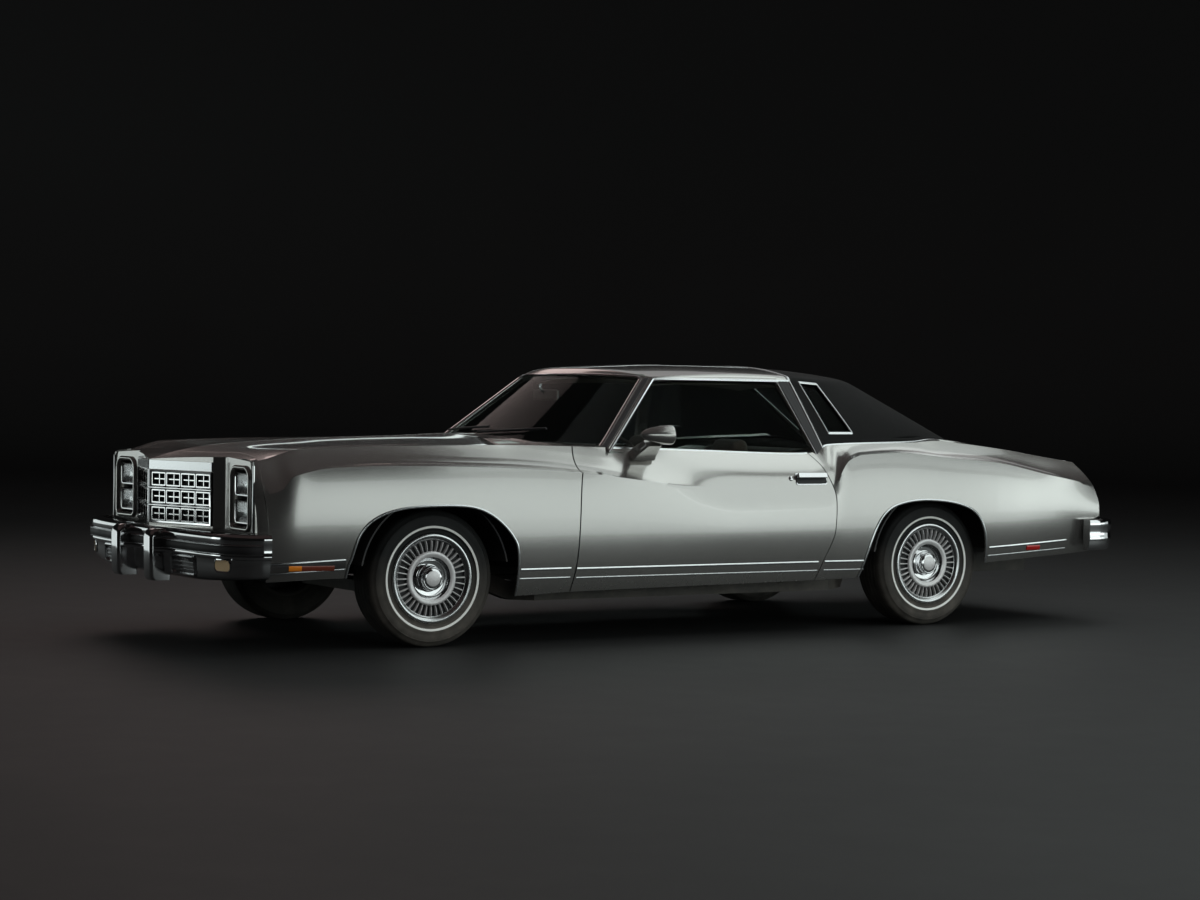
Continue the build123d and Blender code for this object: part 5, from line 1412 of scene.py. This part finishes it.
def cushion(name, half, centre, tilt, seams, radius=48.0, across=()):
    # stuffed pad: its face bulges as (1 - u squared)(1 - v squared) and sinks along each seam by exp(-(d / width)
    # squared), d being the distance from it
    half = np.array(half, float)
    unitPoints, points, faces = roundedBox(half, min(radius, half.min() * 0.9), 40)
    u, v = unitPoints[:, 0], unitPoints[:, 1]
    face = np.clip(points[:, 2] / half[2], 0, 1) ** 2
    points[:, 2] += face * cabinFit["cushionCrown"] * (1 - u ** 2) * (1 - v ** 2)
    for axis, at in [(0, at) for at in seams] + [(1, at) for at in across]:
        points[:, 2] -= face * cabinFit["seamDepth"] * np.exp(-((points[:, axis] - at) / cabinFit["seamWidth"]) ** 2)
    c, s = math.cos(math.radians(tilt)), math.sin(math.radians(tilt))
    turn = np.array([[1, 0, 0], [0, c, -s], [0, s, c]])
    piece = addPiece(name, (points @ turn.T + centre, faces), seatVelour, slotName="seat_cloth", sharp=0, merge=True)
    return piece


lines, rearLines = (-132, -66, 0, 66, 132), (-420, -300, -180, 180, 300, 420, 0)
for side, sign in sides:
    pad = cushion(f"front_cushion_{side}", (236, 268, 66), (sign * 410, 34, 414), 4, lines, across=(-190,))
    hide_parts("front_seats")
    cushion(f"front_backrest_{side}", (232, 232, 58), (sign * 410, 358, 672), 106, lines, across=(170,))
    cushion(f"head_pad_{side}", (120, 66, 44), (sign * 410, 436, 896), 100, (), radius=40)
cushion("front_armrest", (118, 170, 60), (0, 120, 500), 2, (0,))
for side, sign in sides:
    addPiece(f"seat_mount_{side}", block((212, 190, 30), 12, 8, (sign * 410, 40, 332)), darkMetal, merge=True)
pad = cushion("rear_cushion", (598, 176, 70), (0, 790, 500), 6, rearLines)
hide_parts("rear_seat")
cushion("rear_backrest", (598, 190, 58), (0, 1012, 724), 110, rearLines)
addPiece("rear_seat_base", block((560, 150, 24), 10, 8, (0, 790, 440)), darkMetal, merge=True)

# dash: pad whose top rises over the dials by 14 exp(-((x - 405) / 210) to the power 4), its dials and its vents
dashLine = [(-764, 722), (-764, 846), (-700, 872), (-600, 901), (-520, 910), (-468, 909), (-425, 896), (-408, 874),
            (-402, 840), (-404, 800), (-420, 742), (-442, 692), (-520, 642), (-740, 642)]
x = np.linspace(-768, 768, 60)
sectionY, sectionZ = smoothPath(dashLine, 70).T
hood = 14 * np.exp(-((x - 405) / 210) ** 4)
lift = np.clip((sectionZ - 800) / 100, 0, 1)
grid = np.stack(np.broadcast_arrays(x[:, None], sectionY, sectionZ - (14 - hood[:, None]) * lift * (sectionY > -560)),
                axis=-1)
addPiece("dash_pad", tube(grid), dashPad, slotName="interior_plastic", replaces="dashboard", sharp=50)


def onDash(x, z, out):
    # point out from the dash's leaning face
    return np.stack([x, -402 + np.abs(z - 830) * 0.16 + np.broadcast_to(out, np.shape(x)), z], axis=-1)


addPiece("dash_face", plate(roundRect(-720, 720, 768, 858, 16, 16)[::-1], onDash, 5, 0), cabinTrim,
         slotName="interior_plastic")
addPiece("instrument_panel", plate(roundRect(215, 595, 774, 852, 14, 14)[::-1], onDash, 8, 2), grilleBlack)
dials = [("dial", [(0.01, 3), (30, 3), (32, 7), (35, 7), (36, 0), (0.01, 0)], 40, brightAluminium),
         ("dial_face", [(0.01, 4.5), (29, 4.5), (29, 2), (0.01, 2)], 32, whiteRubber)]
for number, x in enumerate((270, 405, 540)):
    for name, section, segments, material in dials:
        addPiece(f"{name}_{number}", revolve(section, segments, (x, -396, 813), (0, 1, 0), closed=False), material,
                 merge=True)
for number, x in enumerate((-560, -260, 60)):
    bars = [plate(roundRect(x - 66, x + 66, z - 3, z + 3, 2, 2, 3)[::-1], onDash, 9, 2) for z in (796, 812, 828)]
    addPiece(f"dash_vent_{number}", joined(*bars), brightAluminium, sharp=50)

# steering wheel and column
wheelCentre, columnStart = np.array([405.0, -196.0, 790.0]), np.array([405.0, -560.0, 652.0])
way = unit(wheelCentre - columnStart)
a = np.linspace(0, 2 * math.pi, 28, endpoint=False)
rim = np.stack([192 + 11.5 * np.cos(a), 11.5 * np.sin(a)], axis=1)
addPiece("wheel_rim", revolve(rim, 96, wheelCentre, way), dashPad, "steering_wheel", "interior_plastic",
         "steering_wheel", sharp=0)
hubProfile = [(0.01, 14), (30, 14), (52, 8), (60, -2), (56, -22), (42, -34), (40, -70), (0.01, -70)]
addPiece("wheel_hub", revolve(hubProfile, 48, wheelCentre, way, closed=False), dashPad, "steering_wheel",
         "interior_plastic", merge=True)
share = np.linspace(0, 1, 16)[:, None]
for side, sign in sides:
    path = wheelCentre + np.array([sign, 0, 0]) * (40 + 146 * share) - way * (16 * (1 - share) ** 2)
    addPiece(f"wheel_spoke_{side}", strip(path, np.broadcast_to(way, path.shape), crowned(44, 8, foot=-6)),
             brightAluminium, "steering_wheel", sharp=50)
columnSection = [(0.01, 0), (31, 0), (33, 6), (33, 236), (0.01, 236)]
addPiece("column_cover", revolve(columnSection, 36, wheelCentre - way * 292, way, closed=False), dashPad,
         slotName="interior_plastic", merge=True)

# door trims, headlining, shelf and mirror
trim = roundRect(-660, 560, 360, 868, 40, 60, 10)


def onTrim(y, z, out):
    # point out from the door's leaning inner face
    inner = 842 - (z - 330) * 0.0584
    return np.stack([inner - 1 - np.broadcast_to(out, np.shape(y)), y, z], axis=-1)


bothSides("door_trim", plate(trim[::-1], onTrim, 6, 0), cabinTrim, "door", slotName="interior_plastic", bevel=3.0)
for side, sign in sides:
    rest = addPiece(f"door_armrest_{side}", block((26, 210, 24), 18, 14, (sign * 800, -40, 628)), cabinTrim,
                    f"door_{side}", "interior_plastic", merge=True)
y = np.linspace(-180, 1090, 60)
u = np.linspace(-1, 1, 41)
plan = np.stack(np.meshgrid(u, y, indexing="ij"), axis=-1)
half = np.interp(plan[..., 1], [-180, 300, 1090], [540, 560, 470])
plan[..., 0] *= half
z = roofZ(plan[..., 0], plan[..., 1]) - cabinFit["liningDrop"]
lining = np.concatenate([plan, z[..., None]], axis=-1)
addPiece("headlining", slab(lining[::-1], lining[::-1] - [0, 0, 5.0]), headlining, slotName="seat_cloth")
shelf = np.stack(np.meshgrid(np.linspace(-590, 590, 12), np.linspace(1140, 1600, 8), [864.5], indexing="ij"),
                 axis=-1)[:, :, 0]
addPiece("package_shelf_cloth", slab(shelf, shelf - [0, 0, 2.0]), carpet, slotName="seat_cloth")
mirrorY = float(windshieldY(np.array(0.0), np.array(1180.0))) + 70
addPiece("cabin_mirror", block((118, 9, 27), 8, 14, (0, mirrorY, 1180)), dashPad, merge=True)
addPiece("cabin_mirror_glass", block((112, 1, 22), 0.9, 10, (0, mirrorY + 9.5, 1180)), reflector, merge=True)
stem = smoothPath([[0, mirrorY - 6, 1186.0], [0, mirrorY - 30, 1212], [0, mirrorY - 30, 1236]], 10)
addPiece("cabin_mirror_stem", strip(stem, np.broadcast_to([1.0, 0, 0], (10, 3)), crowned(10, 5, foot=-5)),
         brightAluminium)
print("cabin made")


# Floor, light and camera, in metres

def makeFloor():
    # round dark floor that curves up into a wall behind the car
    mesh = bpy.data.meshes.new("floor")
    radius, curve = 22, 5
    bend = np.linspace(0.15, math.pi / 2, 12)
    run = np.concatenate([np.linspace(0, radius, 12), radius + curve * np.sin(bend), [27, 27]])[:, None]
    rise = np.concatenate([np.zeros(12), curve - curve * np.cos(bend), [9, 14]])[:, None]
    a = np.linspace(0, 2 * math.pi, 96, endpoint=False)
    grid = np.stack(np.broadcast_arrays(run * np.cos(a), run * np.sin(a), rise), axis=-1)
    mesh.from_pydata(grid.reshape(-1, 3).tolist(), [], gridFaces(len(run), 96, wrapColumns=True).tolist())
    tidyMesh(mesh, True)
    if mesh.polygons[0].normal.z < 0:
        mesh.flip_normals()
    mesh.shade_smooth()
    floor = bpy.data.objects.new("floor", mesh)
    bpy.context.scene.collection.objects.link(floor)
    mesh.materials.append(finish("studio_floor", (0.011, 0.0115, 0.0115), 0.6, drift=0.15, driftScale=0.5))


def makeLight(name, size, power, place, aim, reflected=True, tone=(1.0, 1.0, 1.0)):
    # rectangular lamp at its place, turned towards its aim
    lamp = bpy.data.lights.new(name, "AREA")
    lamp.shape = "RECTANGLE"
    lamp.size, lamp.size_y = size
    lamp.energy = power
    lamp.color = tone
    holder = bpy.data.objects.new(name, lamp)
    bpy.context.scene.collection.objects.link(holder)
    holder.location = place
    holder.visible_glossy = reflected
    holder.visible_camera = False
    holder.rotation_euler = (Vector(aim) - Vector(place)).to_track_quat("-Z", "Y").to_euler()


cool, warm = (0.90, 1.0, 0.985), (1.0, 0.80, 0.77)
lights = {  # size, power, place, aim, whether shiny surfaces show the lamp itself, and its tone
    "sky_panel": ((9.0, 7.0), 330, (0.0, 0.5, 6.5), (0.0, 0.0, 0.5), False),
    "side_fill": ((8.0, 3.0), 150, (9.5, -1.0, 3.8), (0.0, 0.0, 0.6), False),
    "side_strip": ((26.0, 1.66), 170, (9.5, 11.0, 1.12), (0.0, 11.0, 1.12), True, cool),
    "door_fill": ((9.0, 5.6), 175, (9.6, 8.0, 4.7), (1.0, 2.4, 0.8), True, cool),
    "rear_panel": ((16.0, 6.0), 225, (1.0, 8.2, 10.0), (1.0, 0.5, 0.8), True, cool),
    "over_panel": ((10.0, 4.2), 84, (5.0, 4.1, 7.0), (5.0, 4.1, 0.0), True, cool),
    "far_side_strip": ((12.0, 2.2), 65, (-9.5, -8.5, 1.15), (0.0, -8.5, 1.1), True, cool),
    "rear_strip": ((8.0, 1.8), 28, (5.0, 11.5, 1.2), (0.0, 2.0, 0.8), True, cool),
    "low_strip": ((8.0, 0.4), 9, (5.2, 4.7, 0.24), (0.0, 4.7, 0.3), True, cool),
    "front_strip": ((2.6, 2.4), 24, (-6.4, -11.2, 1.25), (0.0, -2.4, 0.7), True, cool),
    "far_panel": ((6.0, 3.0), 16, (-4.5, 5.5, 5.2), (0.0, 1.6, 0.9)),
    "far_line": ((7.0, 0.14), 3.5, (-9.0, 5.0, 2.3), (0.0, 1.0, 0.9), True, cool),
    "shield_glow": ((5.0, 3.0), 40, (-7.6, 0.6, 5.4), (0.0, -0.8, 1.2), True, warm),
}
for name, values in lights.items():
    makeLight(name, *values)
makeFloor()

# the world lights matt surfaces as grey and shows in shiny ones as a dark brown
world = bpy.data.worlds.new("studio")
bpy.context.scene.world = world
world.use_nodes = True
tree = world.node_tree
path = tree.nodes.new("ShaderNodeLightPath")
dim = tree.nodes.new("ShaderNodeBackground")
dim.inputs["Color"].default_value = (0.026, 0.019, 0.0185, 1)
tree.nodes["Background"].inputs["Color"].default_value = (0.80, 0.80, 0.80, 1)
tree.nodes["Background"].inputs["Strength"].default_value = 0.5
blend = tree.nodes.new("ShaderNodeMixShader")
link(tree, (path.outputs["Is Diffuse Ray"], blend.inputs[0]), (dim.outputs[0], blend.inputs[1]),
     (tree.nodes["Background"].outputs[0], blend.inputs[2]), (blend.outputs[0], tree.nodes["World Output"].inputs[0]))

# camera: turned by yaw about +Z from +X, by pitch up and by roll about its own axis, in degrees
view = {"lens": 80.392, "place": (11.906, -7.456, 1.248), "yaw": 148.3205, "pitch": -1.4465, "roll": 0.7734}
yaw, pitch, roll = (math.radians(view[k]) for k in ("yaw", "pitch", "roll"))
ahead = np.array([math.cos(yaw) * math.cos(pitch), math.sin(yaw) * math.cos(pitch), math.sin(pitch)])
right = unit(np.cross(ahead, [0.0, 0.0, 1.0]))
up = np.cross(right, ahead)
rolledRight = math.cos(roll) * right + math.sin(roll) * up
rolledUp = -math.sin(roll) * right + math.cos(roll) * up
camera = bpy.data.objects.new("camera", bpy.data.cameras.new("camera"))
bpy.context.scene.collection.objects.link(camera)
camera.data.lens = view["lens"]
camera.data.sensor_width = 36
camera.matrix_world = Matrix([[*row] for row in np.vstack([np.stack([rolledRight, rolledUp, -ahead,
                                                                    view["place"]], axis=1), [0, 0, 0, 1]])])
bpy.context.scene.camera = camera
bpy.context.scene.view_settings.view_transform = "Standard"
print("camera, light and floor placed")
